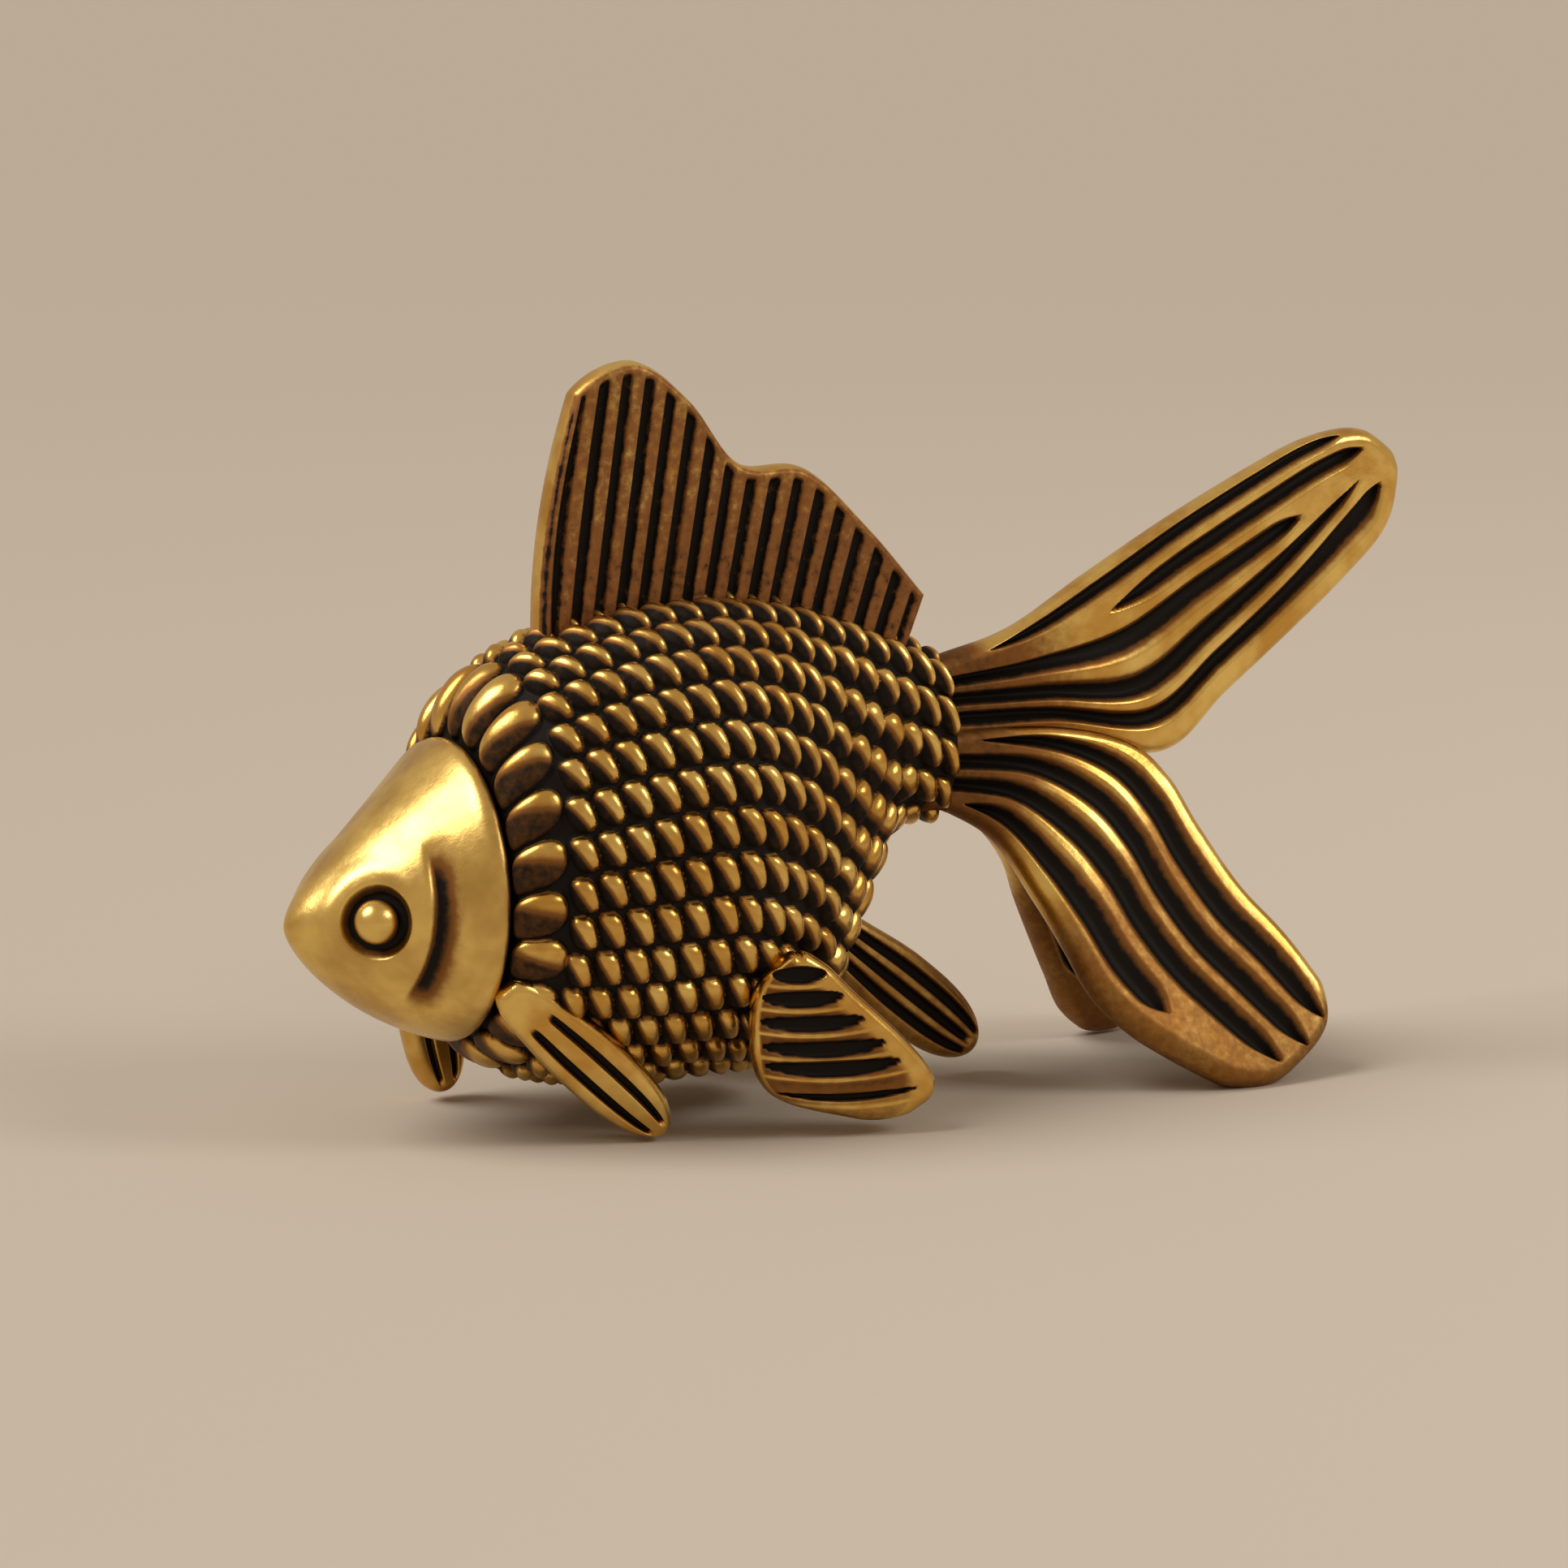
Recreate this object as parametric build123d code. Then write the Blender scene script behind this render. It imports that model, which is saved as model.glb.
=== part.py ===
"""Cast brass goldfish ornament: a hollow scaled body with head, eyes, fins and tail fitted to it.

Millimetres. +X runs from the head to the tail, +Z is up, and the fish's left side is -Y.
The origin lies on the table, under the middle of the fish's length.
"""

import os
from math import cos, hypot, pi, radians, sin, sqrt

from build123d import *

# Lengths along the fish
HEAD_LENGTH = 5.4
BODY_LENGTH = 18.0
TAIL_LENGTH = 18.6

# Body casting
BODY_DEPTH = 16.0
BODY_WIDTH = 13.0
BELLY_CLEARANCE = 1.0
BACK_PEAK = 0.48
BELLY_LOW = 0.36
BELLY_END = 0.64
WIDEST = 0.42
WALL = 1.4
CHAMBER_END = 0.72
PEDUNCLE_START = 0.93
PEDUNCLE_DEPTH = 5.8
PEDUNCLE_WIDTH = 3.6
PEDUNCLE_LIFT = 8.7

# Scales, in columns round the body and rows along it
SCALE_LENGTH = 0.96
SCALE_HEIGHT = 1.45
SHOULDER_SCALE_LENGTH = 2.75
SHOULDER_SCALE_HEIGHT = 1.75
SHOULDER_STEPS = 3
SCALE_RELIEF = 0.42
SCALE_GAP_DEPTH = 0.3
BELLY_SCALE_SHARE = 0.2
SPACING_STEPS = 2000

# Head casting
NECK_DEPTH = 9.86
NECK_WIDTH = 10.0
NECK_LIFT = 3.0
NECK_STEP = 0.3
NOSE_HEIGHT = 7.1
HEAD_TAPER = 0.68
HEAD_SAG = 0.3
HEAD_STATIONS = (0, 0.12, 0.28, 0.45, 0.62, 0.77, 0.88, 0.95, 0.985)
SPIGOT_LENGTH = 2.0
SPIGOT_WALL = 1.0
FIT = 0.03

# Eyes and gill grooves
EYE_STATION = 0.63
EYE_LIFT = 0.37
EYE_DIAMETER = 1.4
EYE_PROUD = 0.3
EYE_SHANK_DIAMETER = 0.7
EYE_SHANK_LENGTH = 0.9
EYE_RECESS_DIAMETER = 2.2
EYE_RECESS_DEPTH = 0.35
GILL_RADIUS = 2.45
GILL_WIDTH = 0.32
GILL_DEPTH = 0.22
GILL_HALF_ANGLE = 58

# Ribbed blades
RIB_FACETS = 3
EDGE_FACETS = 4
BLADE_STOUTNESS = 0.6
LEAF_STATIONS = (0, 0.2, 0.4, 0.58, 0.74, 0.86, 0.94, 0.985)
LEAF_ROOT_SHARE = 0.75
LEAF_WIDEST = 0.5

# Pegs that hold the fins
PEG_DIAMETER = 0.8
PEG_REACH = 0.3
PEG_GRIP = 0.25

# Dorsal fin
DORSAL_STATION = 0.178
DORSAL_LENGTH = 13.3
DORSAL_HEIGHT = 8.4
DORSAL_THICKNESS = 1.2
DORSAL_TENON = 1.0
DORSAL_RIM = 0.5
DORSAL_GROOVES = 17
DORSAL_GROOVE_WIDTH = 0.24
DORSAL_GROOVE_DEPTH = 0.22
DORSAL_LEAN_FRONT = 8
DORSAL_LEAN_REAR = 22
DORSAL_FORM = (
    (0, 0), (0.045, 0.61), (0.1, 0.885), (0.255, 1), (0.405, 0.85), (0.54, 0.6), (0.72, 0.57),
    (0.89, 0.345), (1.065, 0.045),
)
DORSAL_REAR_DROP = 0.55

# Pectoral fins
PECTORAL_STATION = 0.045
PECTORAL_ANGLE = -36
PECTORAL_LEAD = 1.1
PECTORAL_WIDTH = 2.2
PECTORAL_THICKNESS = 1.0
PECTORAL_RIBS = 3
PECTORAL_TIP_SINK = 0.3
LEFT_PECTORAL_SWEEP = 4.7
LEFT_PECTORAL_SPLAY = -0.4
RIGHT_PECTORAL_SWEEP = 1.1
RIGHT_PECTORAL_SPLAY = 0.15

# Pelvic fins
PELVIC_STATION = 0.47
PELVIC_ANGLE = -36
PELVIC_TURN = 12
PELVIC_LIFT = 0.5
PELVIC_LENGTH = 5.7
PELVIC_DEPTH = 5.4
PELVIC_THICKNESS = 1.0
PELVIC_RIM = 0.35
PELVIC_GROOVES = 6
PELVIC_GROOVE_WIDTH = 0.24
PELVIC_GROOVE_DEPTH = 0.2
PELVIC_GROOVE_SAG = 0.5
PELVIC_FIRST_GROOVE = 0.6
PELVIC_FORM = (
    (0.2, 1.05), (0.47, 0.79), (0.8, 0.42), (1, 0.14), (0.66, 0), (0.17, 0.13), (-0.11, 0.42), (-0.06, 0.87),
)

# Anal fin
ANAL_STATION = 0.79
ANAL_SINK = 0.7
ANAL_REACH = 5.2
ANAL_DROP = 4.15
ANAL_WIDTH = 2.6
ANAL_THICKNESS = 1.0
ANAL_RIBS = 3

# Tail lobes
LOBE_THICKNESS = 1.3
LOBE_STEPS = 11
LOBE_GROOVE = 0.2
UPPER_LOBE_RIBS = 6
LOWER_LOBE_RIBS = 5
UPPER_LOBE_RISE = 9.8
LOWER_LOBE_SPREAD = 6.4
LOWER_LOBE_REACH = 12.5
LOBE_OVERLAP = 0.3
TONGUE_LENGTH = 2.2
TONGUE_DEPTH = 1.7
UPPER_TONGUE_THICKNESS = 1.0
LOWER_TONGUE_THICKNESS = 0.7
TONGUE_OFFSET = 0.1
UPPER_LOBE_FORM = (
    ((0, 0.28), (0, -0.02)),
    ((0.15, 0.36), (0.24, -0.03)),
    ((0.31, 0.53), (0.47, -0.11)),
    ((0.49, 0.715), (0.61, 0.085)),
    ((0.665, 0.875), (0.755, 0.29)),
    ((0.78, 0.965), (0.865, 0.455)),
    ((0.88, 1), (0.955, 0.615)),
    ((0.96, 0.97), (1, 0.79)),
)
RIGHT_LOBE_FORM = (
    ((0, 0.05, 1), (0, 0.05, 0.77)),
    ((0.32, 0.07, 0.99), (0.15, 0.09, 0.7)),
    ((0.55, 0.08, 0.93), (0.26, 0.16, 0.58)),
    ((0.7, 0.11, 0.82), (0.33, 0.25, 0.45)),
    ((0.77, 0.19, 0.68), (0.4, 0.33, 0.33)),
    ((0.86, 0.29, 0.51), (0.48, 0.42, 0.2)),
    ((0.95, 0.4, 0.37), (0.56, 0.51, 0.08)),
    ((1.02, 0.52, 0.19), (0.7, 0.63, -0.02)),
)
LEFT_LOBE_FORM = (
    ((0, 0.05, 1), (0, 0.05, 0.77)),
    ((0.32, 0.08, 0.99), (0.11, 0.2, 0.69)),
    ((0.55, 0.1, 0.93), (0.17, 0.42, 0.54)),
    ((0.69, 0.16, 0.82), (0.21, 0.62, 0.41)),
    ((0.73, 0.28, 0.68), (0.25, 0.77, 0.29)),
    ((0.81, 0.44, 0.51), (0.33, 0.87, 0.19)),
    ((0.91, 0.6, 0.37), (0.45, 0.94, 0.1)),
    ((1.01, 0.78, 0.19), (0.65, 1.01, -0.02)),
)

# Places that follow from the sizes
NOSE_X = -(HEAD_LENGTH + BODY_LENGTH + TAIL_LENGTH) / 2
NECK_X = NOSE_X + HEAD_LENGTH
COLLAR_X = NECK_X + BODY_LENGTH
NECK_HEIGHT = NECK_LIFT + NECK_DEPTH / 2
BORE_HALF_WIDTH = NECK_WIDTH / 2 - NECK_STEP - WALL
BORE_HALF_DEPTH = NECK_DEPTH / 2 - NECK_STEP - WALL
LOBE_HEIGHT = PEDUNCLE_LIFT + PEDUNCLE_DEPTH / 2
BACK_PLACE = 0.25
LARGE = 4 * (HEAD_LENGTH + BODY_LENGTH + TAIL_LENGTH)


# Smooth laws
def share(value, start, end):
    return min(max((value - start) / (end - start), 0), 1)


def swell(t):
    return sqrt(1 - (1 - t) ** 2)


def ease(t):
    return t * t * (3 - 2 * t)


def blend(a, b, t):
    return a + (b - a) * t


# Body form at a station, 0 at the neck and 1 at the tail collar
def body_top(u):
    neck = NECK_LIFT + NECK_DEPTH - NECK_STEP
    back = BELLY_CLEARANCE + BODY_DEPTH
    if u < BACK_PEAK:
        return blend(neck, back, swell(u / BACK_PEAK))
    return blend(back, PEDUNCLE_LIFT + PEDUNCLE_DEPTH, share(u, BACK_PEAK, 1) ** 2)


def body_bottom(u):
    if u < BELLY_LOW:
        return blend(NECK_LIFT + NECK_STEP, BELLY_CLEARANCE, swell(u / BELLY_LOW))
    return blend(BELLY_CLEARANCE, PEDUNCLE_LIFT, ease(share(u, BELLY_END, PEDUNCLE_START)))


def body_half_width(u):
    if u < WIDEST:
        return blend(NECK_WIDTH / 2 - NECK_STEP, BODY_WIDTH / 2, swell(u / WIDEST))
    return blend(BODY_WIDTH / 2, PEDUNCLE_WIDTH / 2, ease(share(u, WIDEST, 1)))


def body_x(u):
    return NECK_X + u * BODY_LENGTH


def oval(x, z, half_width, half_depth):
    angles = [2 * pi * k / 16 for k in range(16)]
    points = [(x, half_width * cos(a), z + half_depth * sin(a)) for a in angles]
    return make_face(Spline(*points, periodic=True))


def body_oval(u, inset=0):
    top = body_top(u) - inset
    bottom = body_bottom(u) + inset
    return oval(body_x(u), (top + bottom) / 2, body_half_width(u) - inset, (top - bottom) / 2)


def body_point(u, angle):
    """Point on the left side of the body, with the outward direction there."""
    half_width = body_half_width(u)
    half_depth = (body_top(u) - body_bottom(u)) / 2
    middle = (body_top(u) + body_bottom(u)) / 2
    along, up = cos(radians(angle)), sin(radians(angle))
    point = Vector(body_x(u), -half_width * along, middle + half_depth * up)
    return point, Vector(0, -along / half_width, up / half_depth).normalized()


def peg(point, outward, clearance=0):
    """Round peg from inside a fin's root, through the body's wall."""
    start = point + outward * PEG_GRIP
    length = PEG_GRIP + WALL + PEG_REACH + clearance
    pin = Cylinder(PEG_DIAMETER / 2 + clearance, length, align=(Align.CENTER, Align.CENTER, Align.MIN))
    return Plane(origin=start, z_dir=-outward) * pin


def above_table(solid):
    room = Box(LARGE, LARGE, LARGE, align=(Align.CENTER, Align.CENTER, Align.MIN))
    return solid & room


def left_half(solid):
    return solid & Box(LARGE, LARGE, LARGE, align=(Align.CENTER, Align.MAX, Align.CENTER))


# Scales
def closed_path(points):
    return Wire([Edge.make_line(p, q) for p, q in zip(points, points[1:] + points[:1])])


def scale_columns():
    """Stations where one column of scales ends and the next starts, spaced along the body's side."""
    stations = [0]
    wanted = SHOULDER_SCALE_LENGTH
    length = 0
    for k in range(SPACING_STEPS):
        u = (k / SPACING_STEPS) ** 2
        v = ((k + 1) / SPACING_STEPS) ** 2
        rise = (abs(body_top(v) - body_top(u)) + abs(body_half_width(v) - body_half_width(u))) / 2
        length += hypot(body_x(v) - body_x(u), rise)
        if length >= wanted:
            stations.append(v)
            wanted = SCALE_LENGTH
            length = 0
    if length < SCALE_LENGTH / 2:
        stations.pop()
    return stations + [1]


def scale_height(v):
    """Height of a scale: the rows spread from the head to the widest place, then keep their height."""
    if v > WIDEST:
        return SCALE_HEIGHT
    return SCALE_HEIGHT * body_oval(v).edge().length / body_oval(WIDEST).edge().length


def scale_ring(u, v, front_inset, height, steps):
    """One column of scales: low in front, with a crown on each scale at the rear and gaps between them."""
    girth = body_oval(v).edge().length
    rows = int(girth / 2 / height - 0.5 - BELLY_SCALE_SHARE)
    edges = [(k + 0.5) * height / girth for k in range(-rows - 1, rows + 1)]
    sections = []
    for step in range(steps + 1):
        t = step / steps
        station = blend(u, v, t * t)
        low = blend(front_inset, 0, t)
        crown = body_oval(station, low).edge()
        gap = body_oval(station, low + SCALE_GAP_DEPTH * t).edge()
        points = []
        for a, b in zip(edges, edges[1:] + [edges[0] + 1]):
            for place, outline in ((0, gap), (0.25, crown), (0.75, crown)):
                points.append(outline @ ((BACK_PLACE + blend(a, b, place)) % 1))
        sections.append(closed_path(points))
    return Solid.make_loft(sections, ruled=True)


# Ribbed blades
def ribbed_section(edge_a, edge_b, flow, thickness, ribs, groove):
    """Cross-section between two edge points: arched ribs on both faces and rounded edges."""
    across = edge_b - edge_a
    width = across.length
    across = across.normalized()
    out = flow.cross(across).normalized()
    thick = min(thickness, BLADE_STOUTNESS * width)
    rise = min(groove, thick / 4)
    valley = thick / 2 - rise
    steps = ribs * RIB_FACETS
    margin = valley / width

    def spot(s, height):
        return edge_a + across * (width * blend(margin, 1 - margin, s)) + out * height

    def rounding(end, direction):
        angles = [pi * k / EDGE_FACETS for k in range(1, EDGE_FACETS)]
        return [
            spot(end, 0) + across * (direction * valley * sin(a)) + out * (direction * valley * cos(a))
            for a in angles
        ]

    face = [(k / steps, valley + rise * sin(pi * (k % RIB_FACETS) / RIB_FACETS)) for k in range(steps + 1)]
    points = [spot(s, h) for s, h in face] + rounding(1, 1)
    points += [spot(s, -h) for s, h in reversed(face)] + rounding(0, -1)
    return closed_path(points)


def ribbed_blade(rows, thickness, ribs, groove):
    """Blade through pairs of edge points, from the root to the tip."""
    middles = [(a + b) * 0.5 for a, b in rows]
    last = len(rows) - 1
    sections = []
    for k, (edge_a, edge_b) in enumerate(rows):
        flow = middles[min(k + 1, last)] - middles[max(k - 1, 0)]
        sections.append(ribbed_section(edge_a, edge_b, flow, thickness, ribs, groove))
    return Part() + Solid.make_loft(sections, ruled=True)


def lobe_rows(pairs):
    """Edge points of a curved lobe, spaced evenly along smooth edges through the given pairs."""
    edge_a = Spline(*[a for a, b in pairs])
    edge_b = Spline(*[b for a, b in pairs])
    return [(edge_a @ (k / LOBE_STEPS), edge_b @ (k / LOBE_STEPS)) for k in range(LOBE_STEPS + 1)]


def leaf_rows(root, tip, facing, width):
    """Edge points of a straight leaf-shaped blade that widens from its root and ends round."""
    across = (tip - root).cross(facing).normalized()
    rows = []
    for s in LEAF_STATIONS:
        half = width / 2 * blend(LEAF_ROOT_SHARE, 1, ease(share(s, 0, LEAF_WIDEST)))
        half = half * sqrt(1 - share(s, LEAF_WIDEST, 1) ** 3)
        middle = blend(root, tip, s)
        rows.append((middle - across * half, middle + across * half))
    return rows


# Body, scaled outside and hollow inside
columns = scale_columns()
insets = [0] + [SCALE_RELIEF] * (len(columns) - 2)
heights = [SHOULDER_SCALE_HEIGHT] + [scale_height(v) for v in columns[2:]]
ring_steps = [SHOULDER_STEPS] + [1] * (len(columns) - 2)
rings = zip(columns, columns[1:], insets, heights, ring_steps)
body_outer = Part() + [scale_ring(*one_ring) for one_ring in rings]
spigot_u = SPIGOT_LENGTH / BODY_LENGTH
bore = loft(
    [
        oval(NECK_X, NECK_HEIGHT, BORE_HALF_WIDTH, BORE_HALF_DEPTH),
        oval(NECK_X + SPIGOT_LENGTH, NECK_HEIGHT, BORE_HALF_WIDTH, BORE_HALF_DEPTH),
    ]
)
chamber = loft(
    [oval(NECK_X + SPIGOT_LENGTH, NECK_HEIGHT, BORE_HALF_WIDTH, BORE_HALF_DEPTH)]
    + [body_oval(blend(spigot_u, CHAMBER_END, t), WALL) for t in (0.2, 0.45, 0.7, 0.87, 1)]
)
body_shell = body_outer - bore - chamber


# Head, a cap with a spigot behind
def head_middle(t):
    return blend(NECK_HEIGHT, NOSE_HEIGHT, t) - HEAD_SAG * 4 * t * (1 - t)


def head_oval(t, inset=0):
    scale = (1 - t) ** HEAD_TAPER
    return oval(
        NECK_X - t * HEAD_LENGTH,
        head_middle(t),
        NECK_WIDTH / 2 * scale - inset,
        NECK_DEPTH / 2 * scale - inset,
    )


def ring(radius, width, plane, half_angle):
    """Slice of a tube, kept within an angle of the plane's X direction."""
    tube = Circle(radius + width / 2) - Circle(radius - width / 2)
    far = 2 * radius
    reach = far * sin(radians(half_angle)) / cos(radians(half_angle))
    wedge = make_face(Polyline((0, 0), (far, -reach), (far, reach), close=True))
    return plane * extrude(Pos(0, 0, -far) * (tube & wedge), 2 * far)


head_outer = loft([head_oval(t) for t in HEAD_STATIONS] + [Vertex(NOSE_X, 0, NOSE_HEIGHT)])
gill_floor = loft([head_oval(t, GILL_DEPTH) for t in HEAD_STATIONS[:-2]])
eye_floor = loft([head_oval(t, EYE_RECESS_DEPTH) for t in HEAD_STATIONS[:-2]])
spigot = loft(
    [
        oval(NECK_X, NECK_HEIGHT, BORE_HALF_WIDTH - FIT, BORE_HALF_DEPTH - FIT),
        oval(NECK_X + SPIGOT_LENGTH - FIT, NECK_HEIGHT, BORE_HALF_WIDTH - FIT, BORE_HALF_DEPTH - FIT),
    ]
)
spigot_hollow = loft(
    [
        oval(NECK_X, NECK_HEIGHT, BORE_HALF_WIDTH - SPIGOT_WALL, BORE_HALF_DEPTH - SPIGOT_WALL),
        oval(
            NECK_X + SPIGOT_LENGTH, NECK_HEIGHT, BORE_HALF_WIDTH - SPIGOT_WALL, BORE_HALF_DEPTH - SPIGOT_WALL
        ),
    ]
)

eye_scale = (1 - EYE_STATION) ** HEAD_TAPER
eye_x = NECK_X - EYE_STATION * HEAD_LENGTH
eye_z = head_middle(EYE_STATION) + EYE_LIFT
eye_floor_width = NECK_WIDTH / 2 * eye_scale - EYE_RECESS_DEPTH
eye_floor_depth = NECK_DEPTH / 2 * eye_scale - EYE_RECESS_DEPTH
eye_slope = HEAD_TAPER * NECK_WIDTH / 2 * (1 - EYE_STATION) ** (HEAD_TAPER - 1) / HEAD_LENGTH
eye_outward = Vector(-eye_slope, -1, 0).normalized()
eye_seat = Vector(eye_x, -eye_floor_width * sqrt(1 - (EYE_LIFT / eye_floor_depth) ** 2), eye_z)
eye_plane = Plane(origin=eye_seat, x_dir=(1, -eye_slope, 0), z_dir=eye_outward)
base = (Align.CENTER, Align.CENTER, Align.MIN)
top = (Align.CENTER, Align.CENTER, Align.MAX)

left_recess = eye_plane * Cylinder(EYE_RECESS_DIAMETER / 2, 2 * EYE_RECESS_DIAMETER, align=base)
left_shank_hole = eye_plane * Cylinder(EYE_SHANK_DIAMETER / 2 + FIT, 2 * EYE_SHANK_LENGTH + 2 * FIT)
left_gill = ring(GILL_RADIUS, GILL_WIDTH, eye_plane, GILL_HALF_ANGLE) - gill_floor
left_cuts = left_gill + (left_recess - eye_floor) + left_shank_hole
head = head_outer + spigot - spigot_hollow - left_cuts - mirror(left_cuts, Plane.XZ)

eye_dome = Pos(0, 0, EYE_PROUD) * Sphere(EYE_DIAMETER / 2)
eye_bead = eye_dome - Cylinder(EYE_DIAMETER, EYE_DIAMETER, align=top)
left_eye = eye_plane * (eye_bead + Cylinder(EYE_SHANK_DIAMETER / 2, EYE_SHANK_LENGTH, align=top))
left_eye = left_eye - head
right_eye = mirror(left_eye, Plane.XZ)


# Dorsal fin, a plate in a slot along the back
def inset(points, before, after, distance):
    """Points moved to the right of their path, seen with neighbours before and after the ends."""
    path = [before] + points + [after]
    moved = []
    for (x0, z0), (x, z), (x1, z1) in zip(path, path[1:], path[2:]):
        length = sqrt((x1 - x0) ** 2 + (z1 - z0) ** 2)
        moved.append((x + distance * (z1 - z0) / length, z - distance * (x1 - x0) / length))
    return moved


def dorsal_outline(margin, rim=0):
    """Crest, rear edge and foot of the fin; the foot follows the back, a tenon's depth inside it."""
    front_x = body_x(DORSAL_STATION)
    front_z = body_top(DORSAL_STATION)
    crest = [(front_x + a * DORSAL_LENGTH, front_z + b * DORSAL_HEIGHT) for a, b in DORSAL_FORM]
    rear_u = DORSAL_STATION + DORSAL_LENGTH / BODY_LENGTH
    rear = (body_x(rear_u), body_top(rear_u) + DORSAL_REAR_DROP)
    crest = inset(crest, (crest[0][0], crest[0][1] - DORSAL_TENON), rear, rim)
    stations = [blend(rear_u, DORSAL_STATION, t / 6) for t in range(7)]
    foot = [(body_x(u), body_top(u) - DORSAL_TENON - margin) for u in stations]
    return Spline(*crest) + Polyline(crest[-1], rear, foot[0]) + Spline(*foot) + Line(foot[-1], crest[0])


def upright_plate(face, thickness):
    return extrude(Plane.XZ.offset(-thickness / 2) * face, thickness)


dorsal_face = make_face(dorsal_outline(0))
dorsal_inner = make_face(dorsal_outline(0, DORSAL_RIM))
groove_lines = Sketch()
for k in range(DORSAL_GROOVES):
    t = (k + 0.5) / DORSAL_GROOVES
    u = DORSAL_STATION + t * DORSAL_LENGTH / BODY_LENGTH
    strip = Rectangle(DORSAL_GROOVE_WIDTH, 2 * DORSAL_HEIGHT, align=(Align.CENTER, Align.MIN))
    lean = blend(DORSAL_LEAN_FRONT, DORSAL_LEAN_REAR, t * t)
    groove_lines += Pos(body_x(u), body_top(u)) * Rot(0, 0, -lean) * strip
groove_lines = groove_lines & dorsal_inner
groove_core = upright_plate(dorsal_face, DORSAL_THICKNESS - 2 * DORSAL_GROOVE_DEPTH)
dorsal_fin = upright_plate(dorsal_face, DORSAL_THICKNESS)
dorsal_fin = dorsal_fin - (upright_plate(groove_lines, DORSAL_THICKNESS) - groove_core)
dorsal_slot = upright_plate(make_face(dorsal_outline(FIT)), DORSAL_THICKNESS + 2 * FIT)
body_shell = body_shell - dorsal_slot

# Pectoral fins, blades from behind the head down to the table
shoulder, shoulder_out = body_point(PECTORAL_STATION, PECTORAL_ANGLE)


def pectoral(sweep, splay):
    tip = Vector(shoulder.X + sweep, shoulder.Y - splay, -PECTORAL_TIP_SINK)
    along = (tip - shoulder).normalized()
    root = shoulder - shoulder_out * SCALE_RELIEF - along * PECTORAL_LEAD
    rows = leaf_rows(root, tip, shoulder_out, PECTORAL_WIDTH)
    blade = ribbed_blade(rows, PECTORAL_THICKNESS, PECTORAL_RIBS, LOBE_GROOVE)
    return above_table(blade - body_outer - head_outer) + peg(shoulder, shoulder_out)


left_pectoral_fin = pectoral(LEFT_PECTORAL_SWEEP, LEFT_PECTORAL_SPLAY)
right_pectoral_fin = mirror(pectoral(RIGHT_PECTORAL_SWEEP, RIGHT_PECTORAL_SPLAY), Plane.XZ)
shoulder_hole = peg(shoulder, shoulder_out, FIT)

# Pelvic fins, fans that stand off the lower sides
hip, hip_out = body_point(PELVIC_STATION, PELVIC_ANGLE)
pelvic_normal = Vector(-sin(radians(PELVIC_TURN)), -cos(radians(PELVIC_TURN)), 0)
pelvic_plane = Plane(
    origin=(hip.X, hip.Y - PELVIC_THICKNESS / 2, PELVIC_LIFT),
    x_dir=(cos(radians(PELVIC_TURN)), -sin(radians(PELVIC_TURN)), 0),
    z_dir=pelvic_normal,
)
pelvic_points = [(a * PELVIC_LENGTH, b * PELVIC_DEPTH) for a, b in PELVIC_FORM]
pelvic_face = make_face(Spline(*pelvic_points, periodic=True))
pelvic_grooves = Sketch()
for k in range(PELVIC_GROOVES):
    level = PELVIC_DEPTH * (k + PELVIC_FIRST_GROOVE) / PELVIC_GROOVES
    end_level = level + PELVIC_GROOVE_SAG
    arc = ThreePointArc(
        (-0.1 * PELVIC_LENGTH, end_level), (0.45 * PELVIC_LENGTH, level), (PELVIC_LENGTH, end_level)
    )
    pelvic_grooves += SlotArc(arc, PELVIC_GROOVE_WIDTH)
pelvic_field = inset(pelvic_points, pelvic_points[-1], pelvic_points[0], PELVIC_RIM)
pelvic_grooves = pelvic_grooves & make_face(Spline(*pelvic_field, periodic=True))
pelvic_fan = extrude(Pos(0, 0, -PELVIC_THICKNESS / 2) * pelvic_face, PELVIC_THICKNESS)
for floor in (PELVIC_THICKNESS / 2 - PELVIC_GROOVE_DEPTH, -PELVIC_THICKNESS / 2):
    pelvic_fan -= extrude(Pos(0, 0, floor) * pelvic_grooves, PELVIC_GROOVE_DEPTH)
left_pelvic_fin = (pelvic_plane * pelvic_fan - body_outer) + peg(hip, hip_out)
right_pelvic_fin = mirror(left_pelvic_fin, Plane.XZ)
hip_hole = peg(hip, hip_out, FIT)

# Anal fin, a blade under the tail root
vent = Vector(body_x(ANAL_STATION), 0, body_bottom(ANAL_STATION))
anal_tip = vent + Vector(ANAL_REACH, 0, -ANAL_DROP)
anal_along = (anal_tip - vent).normalized()
anal_root = vent - anal_along * ANAL_SINK
anal_rows = leaf_rows(anal_root, anal_tip, Vector(0, -1, 0), ANAL_WIDTH)
anal_blade = ribbed_blade(anal_rows, ANAL_THICKNESS, ANAL_RIBS, LOBE_GROOVE)
anal_fin = (anal_blade - body_outer) + peg(vent, anal_along)
vent_hole = peg(vent, anal_along, FIT)

body_shell = body_shell - shoulder_hole - mirror(shoulder_hole, Plane.XZ)
body_shell = body_shell - hip_hole - mirror(hip_hole, Plane.XZ) - vent_hole


# Tail lobes, with tongues side by side in a socket in the tail root
def tongue(thickness, low, side, clearance=0):
    block = Box(
        TONGUE_LENGTH + clearance,
        thickness + 2 * clearance,
        TONGUE_DEPTH + 2 * clearance,
        align=(Align.MAX, Align.CENTER, Align.MIN),
    )
    return Pos(COLLAR_X, side * thickness / 2, LOBE_HEIGHT + low - clearance) * block


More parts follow.
